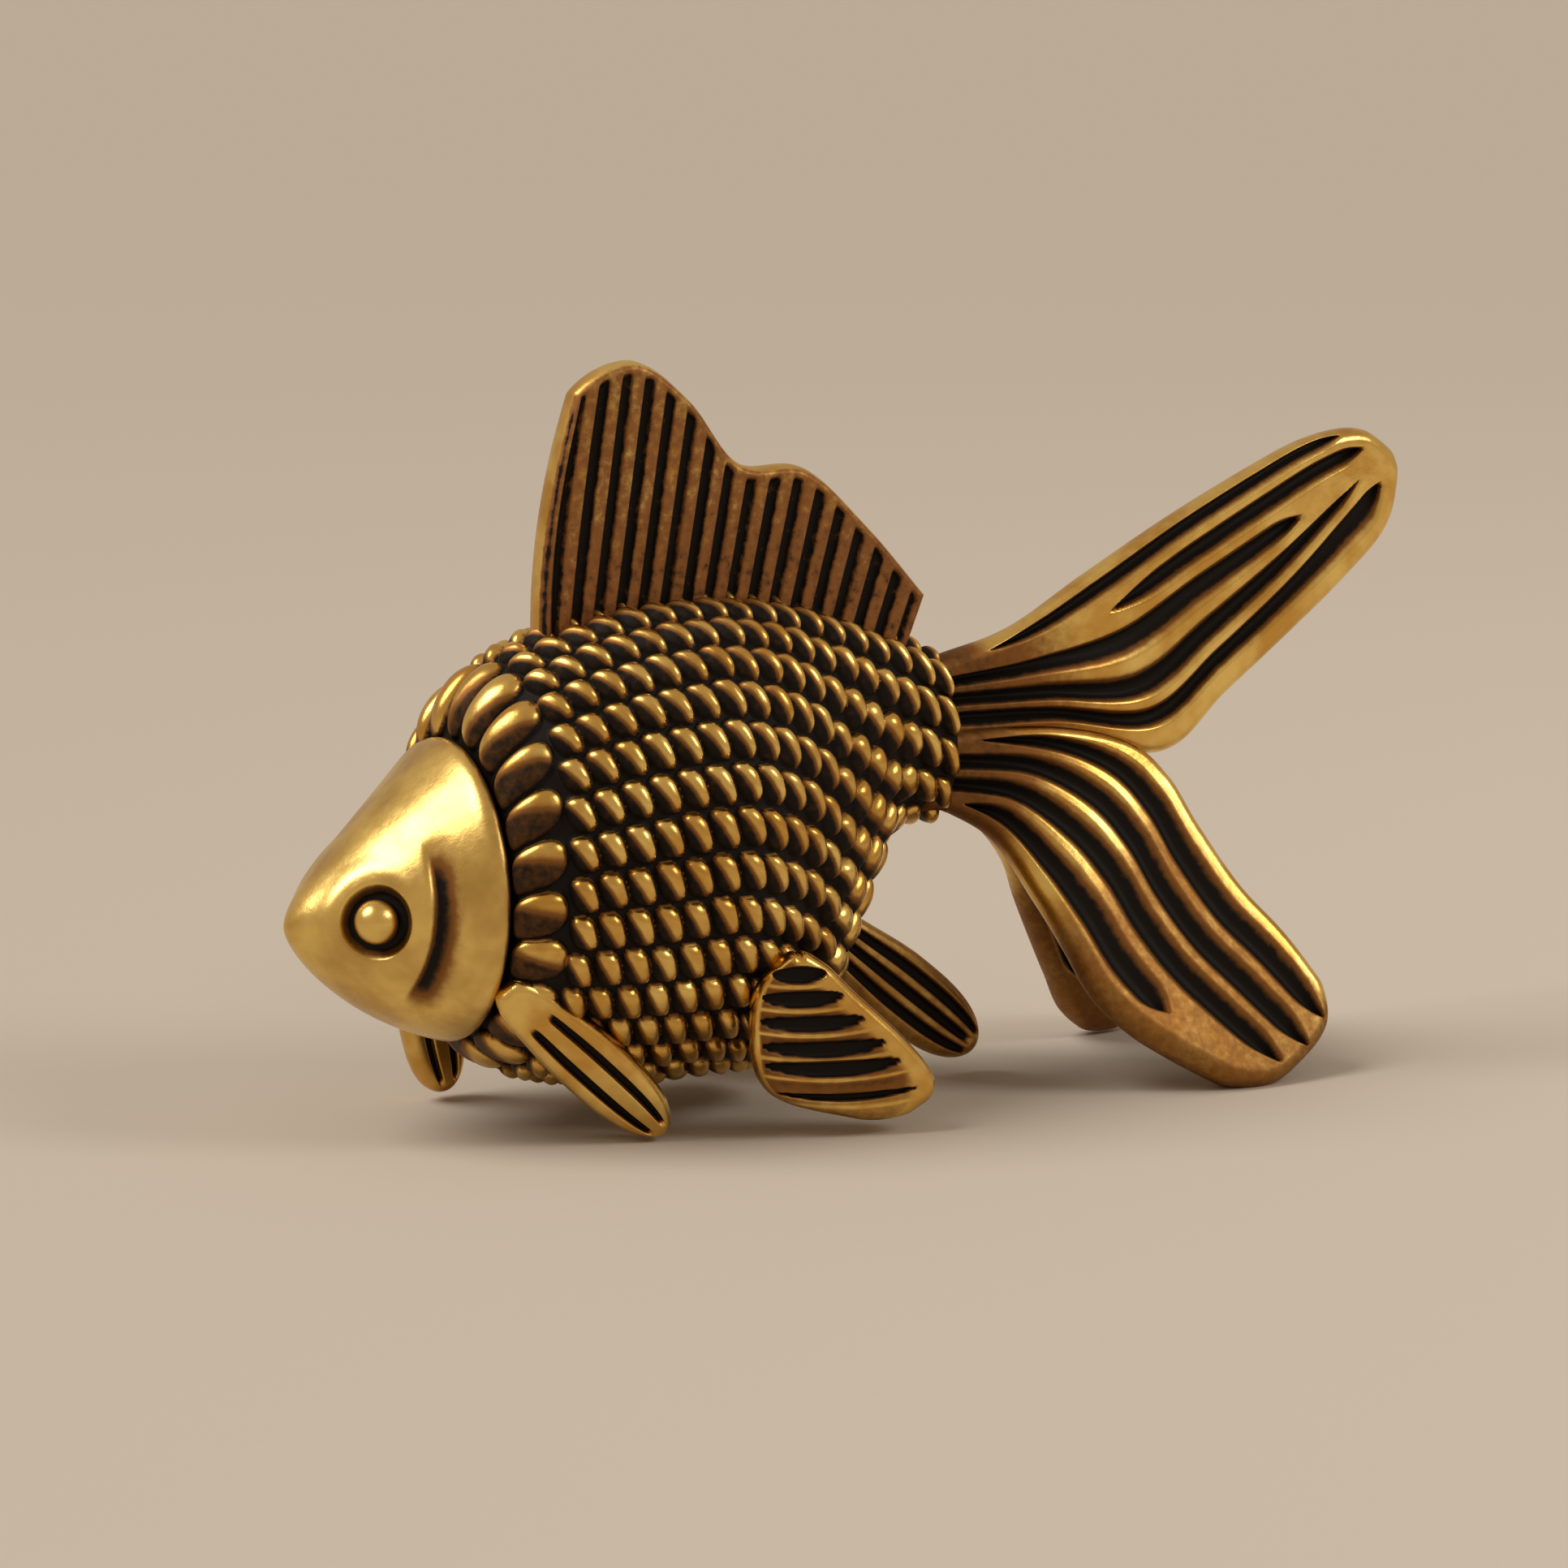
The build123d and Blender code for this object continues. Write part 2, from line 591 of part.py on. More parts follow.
def upper_spot(a, b):
    return Vector(COLLAR_X + a * TAIL_LENGTH, 0, LOBE_HEIGHT + b * UPPER_LOBE_RISE)


def lower_spot(a, spread, c):
    return Vector(
        COLLAR_X + a * LOWER_LOBE_REACH, -spread * LOWER_LOBE_SPREAD, c * (LOBE_HEIGHT + LOBE_OVERLAP)
    )


upper_rows = lobe_rows([(upper_spot(*a), upper_spot(*b)) for a, b in UPPER_LOBE_FORM])
upper_blade = ribbed_blade(upper_rows, LOBE_THICKNESS, UPPER_LOBE_RIBS, LOBE_GROOVE)
upper_low = TONGUE_OFFSET
lower_low = -TONGUE_DEPTH - TONGUE_OFFSET
upper_tail_lobe = upper_blade + tongue(UPPER_TONGUE_THICKNESS, upper_low, 0)


def lower_lobe(form):
    """Lower lobe of the given form, on the left side and under the upper lobe."""
    rows = lobe_rows([(lower_spot(*a), lower_spot(*b)) for a, b in form])
    blade = ribbed_blade(rows, LOBE_THICKNESS, LOWER_LOBE_RIBS, LOBE_GROOVE)
    blade = left_half(above_table(blade)) - upper_blade - body_outer
    return blade + tongue(LOWER_TONGUE_THICKNESS, lower_low, -1)


left_tail_lobe = lower_lobe(LEFT_LOBE_FORM)
right_tail_lobe = mirror(lower_lobe(RIGHT_LOBE_FORM), Plane.XZ)
body_shell = body_shell - tongue(UPPER_TONGUE_THICKNESS, upper_low, 0, FIT)
body_shell = body_shell - tongue(2 * LOWER_TONGUE_THICKNESS, lower_low, 0, FIT)

NODES = {
    "body_shell": body_shell,
    "head": head,
    "left_eye": left_eye,
    "right_eye": right_eye,
    "dorsal_fin": dorsal_fin,
    "left_pectoral_fin": left_pectoral_fin,
    "right_pectoral_fin": right_pectoral_fin,
    "left_pelvic_fin": left_pelvic_fin,
    "right_pelvic_fin": right_pelvic_fin,
    "anal_fin": anal_fin,
    "upper_tail_lobe": upper_tail_lobe,
    "left_tail_lobe": left_tail_lobe,
    "right_tail_lobe": right_tail_lobe,
}

os.makedirs("parts", exist_ok=True)
for name, solid in NODES.items():
    export_step(solid, f"parts/{name}.step")
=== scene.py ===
"""Antique brass fish ornament: overlapping scales, a smooth head, ribbed fins and a three-lobed tail."""

import math

import bmesh
import bpy
import numpy as np
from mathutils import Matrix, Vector
from mathutils.kdtree import KDTree


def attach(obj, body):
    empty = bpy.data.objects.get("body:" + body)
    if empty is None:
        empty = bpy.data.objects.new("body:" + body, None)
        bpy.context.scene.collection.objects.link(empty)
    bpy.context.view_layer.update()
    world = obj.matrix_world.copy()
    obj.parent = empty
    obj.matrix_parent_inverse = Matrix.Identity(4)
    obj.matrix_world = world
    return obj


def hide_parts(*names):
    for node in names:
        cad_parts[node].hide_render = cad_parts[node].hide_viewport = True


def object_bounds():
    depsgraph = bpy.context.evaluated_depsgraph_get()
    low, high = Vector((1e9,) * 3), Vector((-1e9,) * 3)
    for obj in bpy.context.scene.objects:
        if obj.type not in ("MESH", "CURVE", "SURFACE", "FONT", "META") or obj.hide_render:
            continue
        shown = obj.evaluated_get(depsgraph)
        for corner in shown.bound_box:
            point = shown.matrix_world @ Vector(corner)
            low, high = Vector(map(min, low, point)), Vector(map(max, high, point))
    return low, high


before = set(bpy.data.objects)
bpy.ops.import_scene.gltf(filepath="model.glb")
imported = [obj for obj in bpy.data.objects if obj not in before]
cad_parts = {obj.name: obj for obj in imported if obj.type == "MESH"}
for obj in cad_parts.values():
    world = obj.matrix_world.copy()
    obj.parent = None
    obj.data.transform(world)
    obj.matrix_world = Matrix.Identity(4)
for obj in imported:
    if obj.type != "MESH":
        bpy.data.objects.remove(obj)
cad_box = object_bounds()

MM = 0.001
BODY = "root"
LEFT = np.array((0.0, -1.0, 0.0))
UP = np.array((0.0, 0.0, 1.0))
TABLE = 0.0

# Lengths along the fish, in millimetres, with the nose towards -X
HEAD_LENGTH = 5.4
BODY_LENGTH = 18.0
TAIL_LENGTH = 18.6
NOSE_X = -(HEAD_LENGTH + BODY_LENGTH + TAIL_LENGTH) / 2
NECK_X = NOSE_X + HEAD_LENGTH
COLLAR_X = NECK_X + BODY_LENGTH

# Body profile: heights and half widths at the neck, at the fullest place and at the tail root
NECK_TOP = 12.56
BACK_TOP = 17.0
ROOT_TOP = 14.5
NECK_BOTTOM = 3.3
BELLY_BOTTOM = 1.0
ROOT_BOTTOM = 8.7
NECK_HALF_WIDTH = 4.7
BODY_HALF_WIDTH = 6.5
ROOT_HALF_WIDTH = 1.8
BACK_PEAK = 0.48
BELLY_LOW = 0.36
BELLY_END = 0.64
ROOT_START = 0.93
WIDEST = 0.42

# Scales in columns round the body and rows along it
SCALE_SEED = 11
SCALE_LENGTH = 0.96
SCALE_HEIGHT = 1.45
SHOULDER_SCALE_LENGTH = 2.75
SHOULDER_SCALE_HEIGHT = 1.75
SCALE_RELIEF = 0.46
SCALE_SLANT = 0.4
BELLY_SCALE_SHARE = 0.2
SCALE_HALF_LENGTH = 0.49
SCALE_HALF_HEIGHT = 0.48
SCALE_FULLNESS = 2.6
SCALE_SEAT = 0.97
SCALE_FRONT_SHARE = 0.6
SCALE_SHIFT = 0.03
SCALE_SWAY = 0.02
SCALE_SPREAD = 0.015
SCALE_LIFT = 0.07
# Painted shade on the scales: brightness left on each bead's lower front and on the shoulder scales' faces,
# and how far it spreads on shoulder scales lower down the side
SCALE_SHADED_FACE_LEVEL = 0.1
SHOULDER_SHADED_FACE_LEVEL = 0.18
SHOULDER_SHADE = 0.24
SPACING_STEPS = 4001
BODY_ROWS = 330
BODY_HALF_COLUMNS = 271

# Head
HEAD_HALF_WIDTH = 5.0
HEAD_HALF_DEPTH = 4.93
HEAD_TAPER = 0.68
HEAD_SAG = 0.3
HEAD_MIDDLE = 7.93
NOSE_HEIGHT = 7.1
LIP_RADIUS = 0.28
LIP_SHARE = 0.05
NECK_INSET = 0.88
NECK_TUCK = 0.3
EYE_STATION = 0.63
EYE_LIFT = 0.37
EYE_RADIUS = 0.71
EYE_PROUD = 0.15
EYE_RECESS_RADIUS = 1.18
EYE_RECESS_DEPTH = 0.36
GILL_CENTRE = (-2.1, 0.3)
GILL_RADIUS = 4.1
GILL_LOW = math.radians(-45)
GILL_HIGH = math.radians(30)
GILL_DEPTH = 0.26
GILL_FRONT_WIDTH = 0.14
GILL_REAR_WIDTH = 0.65
CHEEK_RADIUS = 1.55
CHEEK_WIDTH = 0.35
CHEEK_RISE = 0.08
HEAD_COLUMNS = 260

# Fins
DORSAL_STATION = 0.178
DORSAL_LENGTH = 13.3
DORSAL_HEIGHT = 8.4
DORSAL_THICKNESS = 1.2
DORSAL_SINK = 0.8
DORSAL_GROOVES = 17
DORSAL_GROOVE_WIDTH = 0.4
DORSAL_GROOVE_DEPTH = 0.24
DORSAL_GROOVE_STEPS = 14
DORSAL_FRONT_SHARE = 0.03
DORSAL_ROUNDING = 0.3
DORSAL_SHOULDER = 0.25
DORSAL_BULGE = 0.4
DORSAL_LEAN_FRONT = math.radians(8)
DORSAL_LEAN_REAR = math.radians(22)
DORSAL_FORM = (
    (0, 0), (0.045, 0.61), (0.1, 0.885), (0.255, 1), (0.405, 0.85),
    (0.54, 0.6), (0.72, 0.57), (0.89, 0.345), (1.065, 0.045),
)
LEAF_ROOT_SHARE = 0.75
LEAF_WIDEST = 0.5
LEAF_GROOVE_DEPTH = 0.27
LEAF_ROUNDING = 0.4
PECTORAL_STATION = 0.045
PECTORAL_ANGLE = math.radians(-36)
PECTORAL_LEAD = 0.8
PECTORAL_WIDTH = 2.2
PECTORAL_THICKNESS = 1.0
PECTORAL_TIP_LIFT = 0.3
PECTORAL_GROOVES = (2, 0.3, 1.5)
LEFT_PECTORAL_REACH = (4.95, 0.4)
RIGHT_PECTORAL_REACH = (1.1, -0.15)
PELVIC_STATION = 0.47
PELVIC_ANGLE = math.radians(-36)
PELVIC_TURN = math.radians(12)
PELVIC_LIFT = 0.5
PELVIC_LENGTH = 5.7
PELVIC_DEPTH = 5.4
PELVIC_THICKNESS = 1.0
PELVIC_SAG = 0.06
PELVIC_GROOVE_DEPTH = 0.24
PELVIC_ROUNDING = 0.35
PELVIC_GROOVE_LEVELS = (0.92, 0.785, 0.645, 0.5, 0.385, 0.215)
PELVIC_ROOT_EDGE = ((0.09, 1.03), (-0.06, 0.79), (-0.08, 0.5), (-0.03, 0.265), (0.14, 0.12), (0.55, 0.0))
PELVIC_OUTER_EDGE = ((0.29, 1.03), (0.5, 0.79), (0.79, 0.5), (0.97, 0.265), (0.97, 0.12), (0.84, 0.02))
ANAL_STATION = 0.79
ANAL_SINK = 0.7
ANAL_REACH = 5.2
ANAL_DROP = 4.15
ANAL_WIDTH = 2.6
ANAL_THICKNESS = 1.0
ANAL_GROOVES = (3, 0.5, 0.0)
ANAL_SHINE = 0.62

# Tail lobes: pairs of edge points from the root to the end; furrows by start, end and path across
LOBE_THICKNESS = 1.3
LOBE_TUCK = 1.2
LOBE_FURROW_DEPTH = 0.4
LOBE_ROUNDING = 0.5
LOBE_ROOT = 0.07
UPPER_LOBE_RISE = 9.8
UPPER_LOBE_LEVEL = 11.6
LOWER_LOBE_SPREAD = 6.4
LOWER_LOBE_REACH = 12.5
LOWER_LOBE_LEVEL = 11.9
UPPER_LOBE_FORM = (
    ((0, 0.28), (0, -0.02)),
    ((0.15, 0.36), (0.24, -0.03)),
    ((0.31, 0.53), (0.47, -0.11)),
    ((0.49, 0.715), (0.61, 0.085)),
    ((0.665, 0.875), (0.755, 0.29)),
    ((0.78, 0.965), (0.865, 0.455)),
    ((0.88, 1), (0.955, 0.615)),
    ((0.96, 0.97), (1, 0.79)),
)
UPPER_LOBE_RIMS = (0.01, 0.13)
UPPER_LOBE_CORNERS = (0.9, 0.42, 0.0)
UPPER_LOBE_FURROWS = (
    (0.08, 0.8, (0.09, 0.055, 0.03)),
    (0.28, 0.86, (0.16, 0.21, 0.16)),
    (-0.1, 0.64, (0.28, 0.4, 0.42)),
    (-0.1, 0.82, (0.5, 0.61, 0.2)),
    (-0.05, 0.89, (0.7, 0.78, 0.45)),
)
RIGHT_LOBE_FORM = (
    ((0, 0.05, 1), (0, 0.05, 0.77)),
    ((0.32, 0.07, 0.99), (0.15, 0.09, 0.7)),
    ((0.55, 0.08, 0.93), (0.26, 0.16, 0.58)),
    ((0.7, 0.11, 0.82), (0.33, 0.25, 0.45)),
    ((0.77, 0.19, 0.68), (0.4, 0.33, 0.33)),
    ((0.86, 0.29, 0.51), (0.48, 0.42, 0.2)),
    ((0.95, 0.4, 0.37), (0.56, 0.51, 0.08)),
    ((1.02, 0.52, 0.19), (0.7, 0.63, -0.02)),
)
LEFT_LOBE_FORM = (
    ((0, 0.05, 1), (0, 0.05, 0.77)),
    ((0.32, 0.08, 0.99), (0.11, 0.2, 0.69)),
    ((0.55, 0.1, 0.93), (0.17, 0.42, 0.54)),
    ((0.665, 0.16, 0.82), (0.21, 0.62, 0.41)),
    ((0.725, 0.28, 0.68), (0.25, 0.77, 0.29)),
    ((0.81, 0.44, 0.51), (0.33, 0.87, 0.19)),
    ((0.91, 0.6, 0.37), (0.45, 0.94, 0.1)),
    ((1.01, 0.78, 0.19), (0.65, 1.01, -0.02)),
)
LOWER_LOBE_RIMS = (0.09, 0.06)
LOWER_LOBE_CORNERS = (0.965, 0.2, 0.045)
LOWER_LOBE_FURROWS = (
    (0.04, 0.985, (0.13, 0.195, 0.2)),
    (-0.1, 0.99, (0.37, 0.4, 0.45)),
    (-0.1, 0.975, (0.66, 0.595, 0.7)),
    (0.04, 0.75, (0.86, 0.83, 0.9)),
)


# Plain laws of shape
def share(value, start, end):
    return np.clip((value - start) / (end - start), 0.0, 1.0)


def ease(t):
    return t * t * (3 - 2 * t)


def step(value, start, end):
    """Nothing before start, one after end, and smooth between."""
    return ease(share(value, start, end))


def swell(t):
    return np.sqrt(1 - (1 - t) ** 2)


def blend(a, b, t):
    return a + (b - a) * t


def hump(value, width):
    return np.exp(-((value / width) ** 2))


def stops(count):
    """Places from nothing to one, closer together near both ends."""
    even = np.linspace(0, 1, count)
    return 0.45 * even + 0.55 * (0.5 - 0.5 * np.cos(np.pi * even))


def smooth_line(points, places):
    """Points on a smooth line through the given ones, at places from nothing to one."""
    knots = np.array(points, float)
    padded = np.vstack([2 * knots[0] - knots[1], knots, 2 * knots[-1] - knots[-2]])
    position = np.asarray(places) * (len(knots) - 1)
    k = np.minimum(position.astype(int), len(knots) - 2)
    t = (position - k)[..., None]
    p0, p1, p2, p3 = (padded[k + n] for n in range(4))
    bend = (2 * p0 - 5 * p1 + 4 * p2 - p3) * t ** 2
    twist = (3 * p1 - p0 - 3 * p2 + p3) * t ** 3
    return 0.5 * (2 * p1 + (p2 - p0) * t + bend + twist)


def body_top(u):
    rising = blend(NECK_TOP, BACK_TOP, swell(share(u, 0, BACK_PEAK)))
    falling = blend(BACK_TOP, ROOT_TOP, share(u, BACK_PEAK, 1) ** 2)
    return np.where(u < BACK_PEAK, rising, falling)


def body_bottom(u):
    falling = blend(NECK_BOTTOM, BELLY_BOTTOM, swell(share(u, 0, BELLY_LOW)))
    rising = blend(BELLY_BOTTOM, ROOT_BOTTOM, step(u, BELLY_END, ROOT_START))
    return np.where(u < BELLY_LOW, falling, rising)


def body_half_width(u):
    swelling = blend(NECK_HALF_WIDTH, BODY_HALF_WIDTH, swell(share(u, 0, WIDEST)))
    tapering = blend(BODY_HALF_WIDTH, ROOT_HALF_WIDTH, step(u, WIDEST, 1))
    return np.where(u < WIDEST, swelling, tapering)


def body_point(u, angle):
    """A place on the left side and the way out there, at an angle above the middle."""
    half_depth = (body_top(u) - body_bottom(u)) / 2
    half_width = body_half_width(u)
    middle = (body_top(u) + body_bottom(u)) / 2
    place = (NECK_X + u * BODY_LENGTH, -half_width * math.cos(angle), middle + half_depth * math.sin(angle))
    outward = np.array((0, -math.cos(angle) / half_width, math.sin(angle) / half_depth))
    return np.array(place, float), outward / np.linalg.norm(outward)


# Meshes
def grid_faces(rows, columns, wrap):
    """Four-sided faces over a grid of points, joined round when it wraps."""
    i, j = np.meshgrid(np.arange(rows - 1), np.arange(columns if wrap else columns - 1), indexing="ij")
    after = (j + 1) % columns
    corners = (i * columns + j, i * columns + after, (i + 1) * columns + after, (i + 1) * columns + j)
    return np.stack(corners, axis=-1).reshape(-1, 4)


def unit(vectors):
    return vectors / (np.linalg.norm(vectors, axis=-1, keepdims=True) + 1e-12)


def ring_normals(rings):
    """The way out at each point of a stack of closed rings."""
    along = np.gradient(rings, axis=0)
    around = np.roll(rings, -1, axis=1) - np.roll(rings, 1, axis=1)
    normals = unit(np.cross(along, around))
    outward = rings - rings.mean(axis=1, keepdims=True)
    return normals * np.sign((normals * outward).sum(axis=(1, 2)).mean())


def cast(piece, node, points, faces, polish_and_shade, finish):
    """One brass piece from points in millimetres, closed and smooth, in place of its CAD node."""
    mesh = bpy.data.meshes.new(piece)
    inside = np.clip(points * MM, *(np.array(corner) for corner in cad_box))
    mesh.from_pydata(inside.tolist(), [], [list(face) for face in faces])
    mesh.attributes.new("polish_and_shade", "FLOAT", "POINT").data.foreach_set("value", polish_and_shade.astype(np.float32))
    work = bmesh.new()
    work.from_mesh(mesh)
    bmesh.ops.remove_doubles(work, verts=work.verts, dist=1e-4 * MM)
    bmesh.ops.recalc_face_normals(work, faces=work.faces)
    for face in work.faces:
        face.smooth = True
    work.to_mesh(mesh)
    work.free()
    mesh.materials.append(finish)
    obj = bpy.data.objects.new(piece, mesh)
    bpy.context.scene.collection.objects.link(obj)
    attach(obj, BODY)
    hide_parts(node)
    return obj


def cast_rings(piece, node, rings, polish_and_shade, finish):
    """A piece from a stack of closed rings, with both ends closed."""
    rows, columns = rings.shape[:2]
    points = np.vstack([rings.reshape(-1, 3), rings[0].mean(axis=0), rings[-1].mean(axis=0)])
    faces = grid_faces(rows, columns, True).tolist()
    for first, centre in ((0, rows * columns), ((rows - 1) * columns, rows * columns + 1)):
        for k in range(columns):
            faces.append((first + k, first + (k + 1) % columns, centre))
    values = np.concatenate([polish_and_shade.ravel(), [polish_and_shade[0].mean(), polish_and_shade[-1].mean()]])
    return cast(piece, node, points, faces, values, finish)


def edge_distances(middle):
    """Distances of each point of a grid from its first and last row, and first and last column."""
    found = []
    for axis in (0, 1):
        lengths = np.linalg.norm(np.diff(middle, axis=axis), axis=2)
        pad = [(0, 0), (0, 0)]
        pad[axis] = (1, 0)
        so_far = np.pad(np.cumsum(lengths, axis=axis), pad)
        total = so_far.take([-1], axis=axis)
        found += [so_far, total - so_far]
    return found


def outline_distances(middle):
    """Distance of each point of a grid from the grid's outline."""
    outline = np.concatenate([middle[0], middle[:, -1], middle[-1, ::-1], middle[::-1, 0]])
    between = np.linspace(0, 1, 5)[:-1, None, None]
    marks = blend(outline[:-1], outline[1:], between).reshape(-1, 3)
    tree = KDTree(len(marks))
    for k, mark in enumerate(marks):
        tree.insert(mark, k)
    tree.balance()
    return np.array([tree.find(spot)[2] for spot in middle.reshape(-1, 3)]).reshape(middle.shape[:2])


def cast_fin(piece, node, middle, thickness, cut, depth, polish_and_shade, rounding, finish, mirrored=False):
    """A closed plate around a middle surface, cut into on both sides and rounded to its edges."""
    edge = swell(share(outline_distances(middle), 0, rounding))
    half = thickness / 2 * edge * (1 - 2 * depth / thickness * cut)
    normals = unit(np.cross(np.gradient(middle, axis=0), np.gradient(middle, axis=1)))
    front = middle + normals * half[..., None]
    back = middle - normals * half[..., None]
    points = np.vstack([front.reshape(-1, 3), back.reshape(-1, 3)])
    points[:, 2] = np.maximum(points[:, 2], TABLE)
    if mirrored:
        points[:, 1] *= -1
    rows, columns = middle.shape[:2]
    faces = grid_faces(rows, columns, False)
    faces = np.vstack([faces, faces[:, ::-1] + rows * columns])
    return cast(piece, node, points, faces, np.tile(polish_and_shade.ravel(), 2), finish)


# Finishes
class Tone:
    """One value in a finish's node tree, so that its sums read as plain arithmetic."""

    def __init__(self, tree, socket):
        self.tree = tree
        self.socket = socket

    @staticmethod
    def node(tree, kind, settings, inputs, output=0):
        made = tree.nodes.new(kind)
        for key, value in settings.items():
            setattr(made, key, value)
        for key, value in inputs.items():
            Tone.feed(tree, made.inputs[key], value)
        return Tone(tree, made.outputs[output])

    @staticmethod
    def feed(tree, entry, value):
        if isinstance(value, Tone):
            tree.links.new(value.socket, entry)
        else:
            entry.default_value = value

    def sum(self, operation, first, second):
        return Tone.node(self.tree, "ShaderNodeMath", {"operation": operation}, {0: first, 1: second})

    def __add__(self, other):
        return self.sum("ADD", self, other)

    def __radd__(self, other):
        return self.sum("ADD", other, self)

    def __sub__(self, other):
        return self.sum("SUBTRACT", self, other)

    def __rsub__(self, other):
        return self.sum("SUBTRACT", other, self)

    def __mul__(self, other):
        return self.sum("MULTIPLY", self, other)

    def __rmul__(self, other):
        return self.sum("MULTIPLY", other, self)

    def step(self, start, end):
        inputs = {"Value": self, "From Min": start, "From Max": end}
        return Tone.node(self.tree, "ShaderNodeMapRange", {"interpolation_type": "SMOOTHSTEP"}, inputs)

    def mix(self, first, second):
        """A colour between two, by this value."""
        inputs = {0: self, 6: first, 7: second}
        return Tone.node(self.tree, "ShaderNodeMix", {"data_type": "RGBA"}, inputs, 2)


def brass(name, gold, amber, brown, patina, speckle, shine):
    """Aged brass: black in the hollows, brown on the slopes and bright on the high places where rubbing
    shows the metal; on the scales and the far tail lobe the same values also paint shade and highlight.
    """
    material = bpy.data.materials.new(name)
    material.use_nodes = True
    tree = material.node_tree
    surface = tree.nodes["Principled BSDF"]
    surface.inputs["Specular IOR Level"].default_value = 0.15
    place = Tone.node(tree, "ShaderNodeTexCoord", {}, {}, "Object")
    polish_and_shade = Tone.node(tree, "ShaderNodeAttribute", {"attribute_name": "polish_and_shade"}, {}, "Fac")

    def grain(scale, detail):
        inputs = {"Vector": place, "Scale": scale, "Detail": detail, "Roughness": 0.6}
        return Tone.node(tree, "ShaderNodeTexNoise", {}, inputs, "Fac")

    speck = grain(3000.0, 4.0)
    cloud = grain(420.0, 3.0)
    # The value read here carries painted shade and painted highlight on the scales and the far tail lobe,
    # besides the real wear, so these steps paint that light too
    worn_and_shaded = polish_and_shade + (speck - 0.5) * speckle
    bare_and_lit = worn_and_shaded.step(0.08, 0.42)
    rubbed_and_lit = worn_and_shaded.step(0.42, 0.92)
    metal = cloud.step(0.35, 0.68).mix(amber, gold)
    Tone.feed(tree, surface.inputs["Base Color"], rubbed_and_lit.mix(bare_and_lit.mix(patina, brown), metal))
    Tone.feed(tree, surface.inputs["Metallic"], 0.35 + bare_and_lit * 0.65)
    Tone.feed(tree, surface.inputs["Roughness"], 0.56 - rubbed_and_lit * shine + (speck - 0.5) * 0.14)
    bump = {"Height": speck + cloud * 0.6, "Strength": 0.22, "Distance": 0.05 * MM}
    Tone.feed(tree, surface.inputs["Normal"], Tone.node(tree, "ShaderNodeBump", {}, bump))
    return material


GOLD = (0.86, 0.6, 0.18, 1)
AMBER = (0.62, 0.34, 0.07, 1)
BROWN = (0.26, 0.11, 0.03, 1)
PATINA = (0.012, 0.009, 0.007, 1)
SCALE_BRASS = brass("rubbed_and_shaded_brass_scales", GOLD, AMBER, BROWN, PATINA, 0.3, 0.3)
HEAD_BRASS = brass("polished_brass_head", GOLD, (0.6, 0.38, 0.11, 1), BROWN, PATINA, 0.3, 0.28)
FIN_BRASS = brass("aged_brass_fins", GOLD, AMBER, BROWN, PATINA, 0.35, 0.32)
SAIL_BRASS = brass("speckled_brass_sail", GOLD, AMBER, (0.3, 0.13, 0.045, 1), PATINA, 0.9, 0.24)


# Body with its scales
def scale_edges(length):
    """Where one column of scales ends and the next starts, along the body's side."""
    edges = np.concatenate([[0], np.arange(SHOULDER_SCALE_LENGTH, length, SCALE_LENGTH)])
    if length - edges[-1] < SCALE_LENGTH / 2:
        edges = edges[:-1]
    return np.append(edges, length)


def scale_cells(edges, reach, u, half_girth):
    """For each column, how many scale heights there are from the back to the belly."""
    girth = np.interp(edges[1:], reach, half_girth)
    fullest = np.interp(WIDEST, u, half_girth)
    spreading = np.interp(edges[1:], reach, u) < WIDEST
    height = np.where(spreading, SCALE_HEIGHT * girth / fullest, SCALE_HEIGHT)
    height[0] = SHOULDER_SCALE_HEIGHT
    return girth / height


def scale_beads(reach, from_back, edges, cells, column, row_step):
    """Height and brightness of the scales of the given columns, in the nearest row or one beside it; the
    brightness paints shade on each bead's lower front and a highlight on its upper rear.
    """
    along = (reach - edges[column]) / (edges[column + 1] - edges[column]) - 0.5
    place = from_back * cells[column]
    rows = np.floor(cells - 0.5 - BELLY_SCALE_SHARE)
    most = rows[column]
    row = np.clip(np.floor(place + 0.5) + row_step, 0, most + 1)
    belly = (place - cells[column]) / (2 * (cells[column] - most - 0.5))
    down = np.where(row > most, belly, place - row)
    uneven = np.random.default_rng(SCALE_SEED).uniform(-1, 1, (len(cells), int(rows.max()) + 2, 3))
    shift, size, lift = np.moveaxis(uneven[column, row.astype(int)], -1, 0)
    shoulder = column == 0
    rearward = along - np.where(shoulder, 0, SCALE_SLANT) * down + SCALE_SHIFT * shift
    length = np.abs(rearward) / SCALE_HALF_LENGTH
    side = np.abs(down - SCALE_SWAY * shift) / (SCALE_HALF_HEIGHT + SCALE_SPREAD * size)
    bead = np.sqrt(np.clip(1 - side ** SCALE_FULLNESS - length ** SCALE_FULLNESS, 0, 1))
    # Shoulder scales lower down the side get more painted shade
    painted_shade_side = SHOULDER_SHADE * step(from_back, 0.1, 0.3)
    upper_rear = np.where(shoulder, 0.4 * along - 0.7 * down - painted_shade_side, 0.8 * rearward - 0.4 * down)
    raised = blend(SCALE_FRONT_SHARE, 1.0, step(upper_rear, -0.45, 0.12))
    relief = bead * raised * (1 + SCALE_LIFT * lift)
    # Bright on each bead and dark in the gaps between beads, with painted shade on the lower front and a
    # painted highlight towards the upper rear, as if lit from above
    face = np.where(shoulder, SHOULDER_SHADED_FACE_LEVEL, SCALE_SHADED_FACE_LEVEL)
    return relief, step(bead, 0.12, 0.5) * blend(face, 1.0, step(upper_rear, -0.24, 0.04))


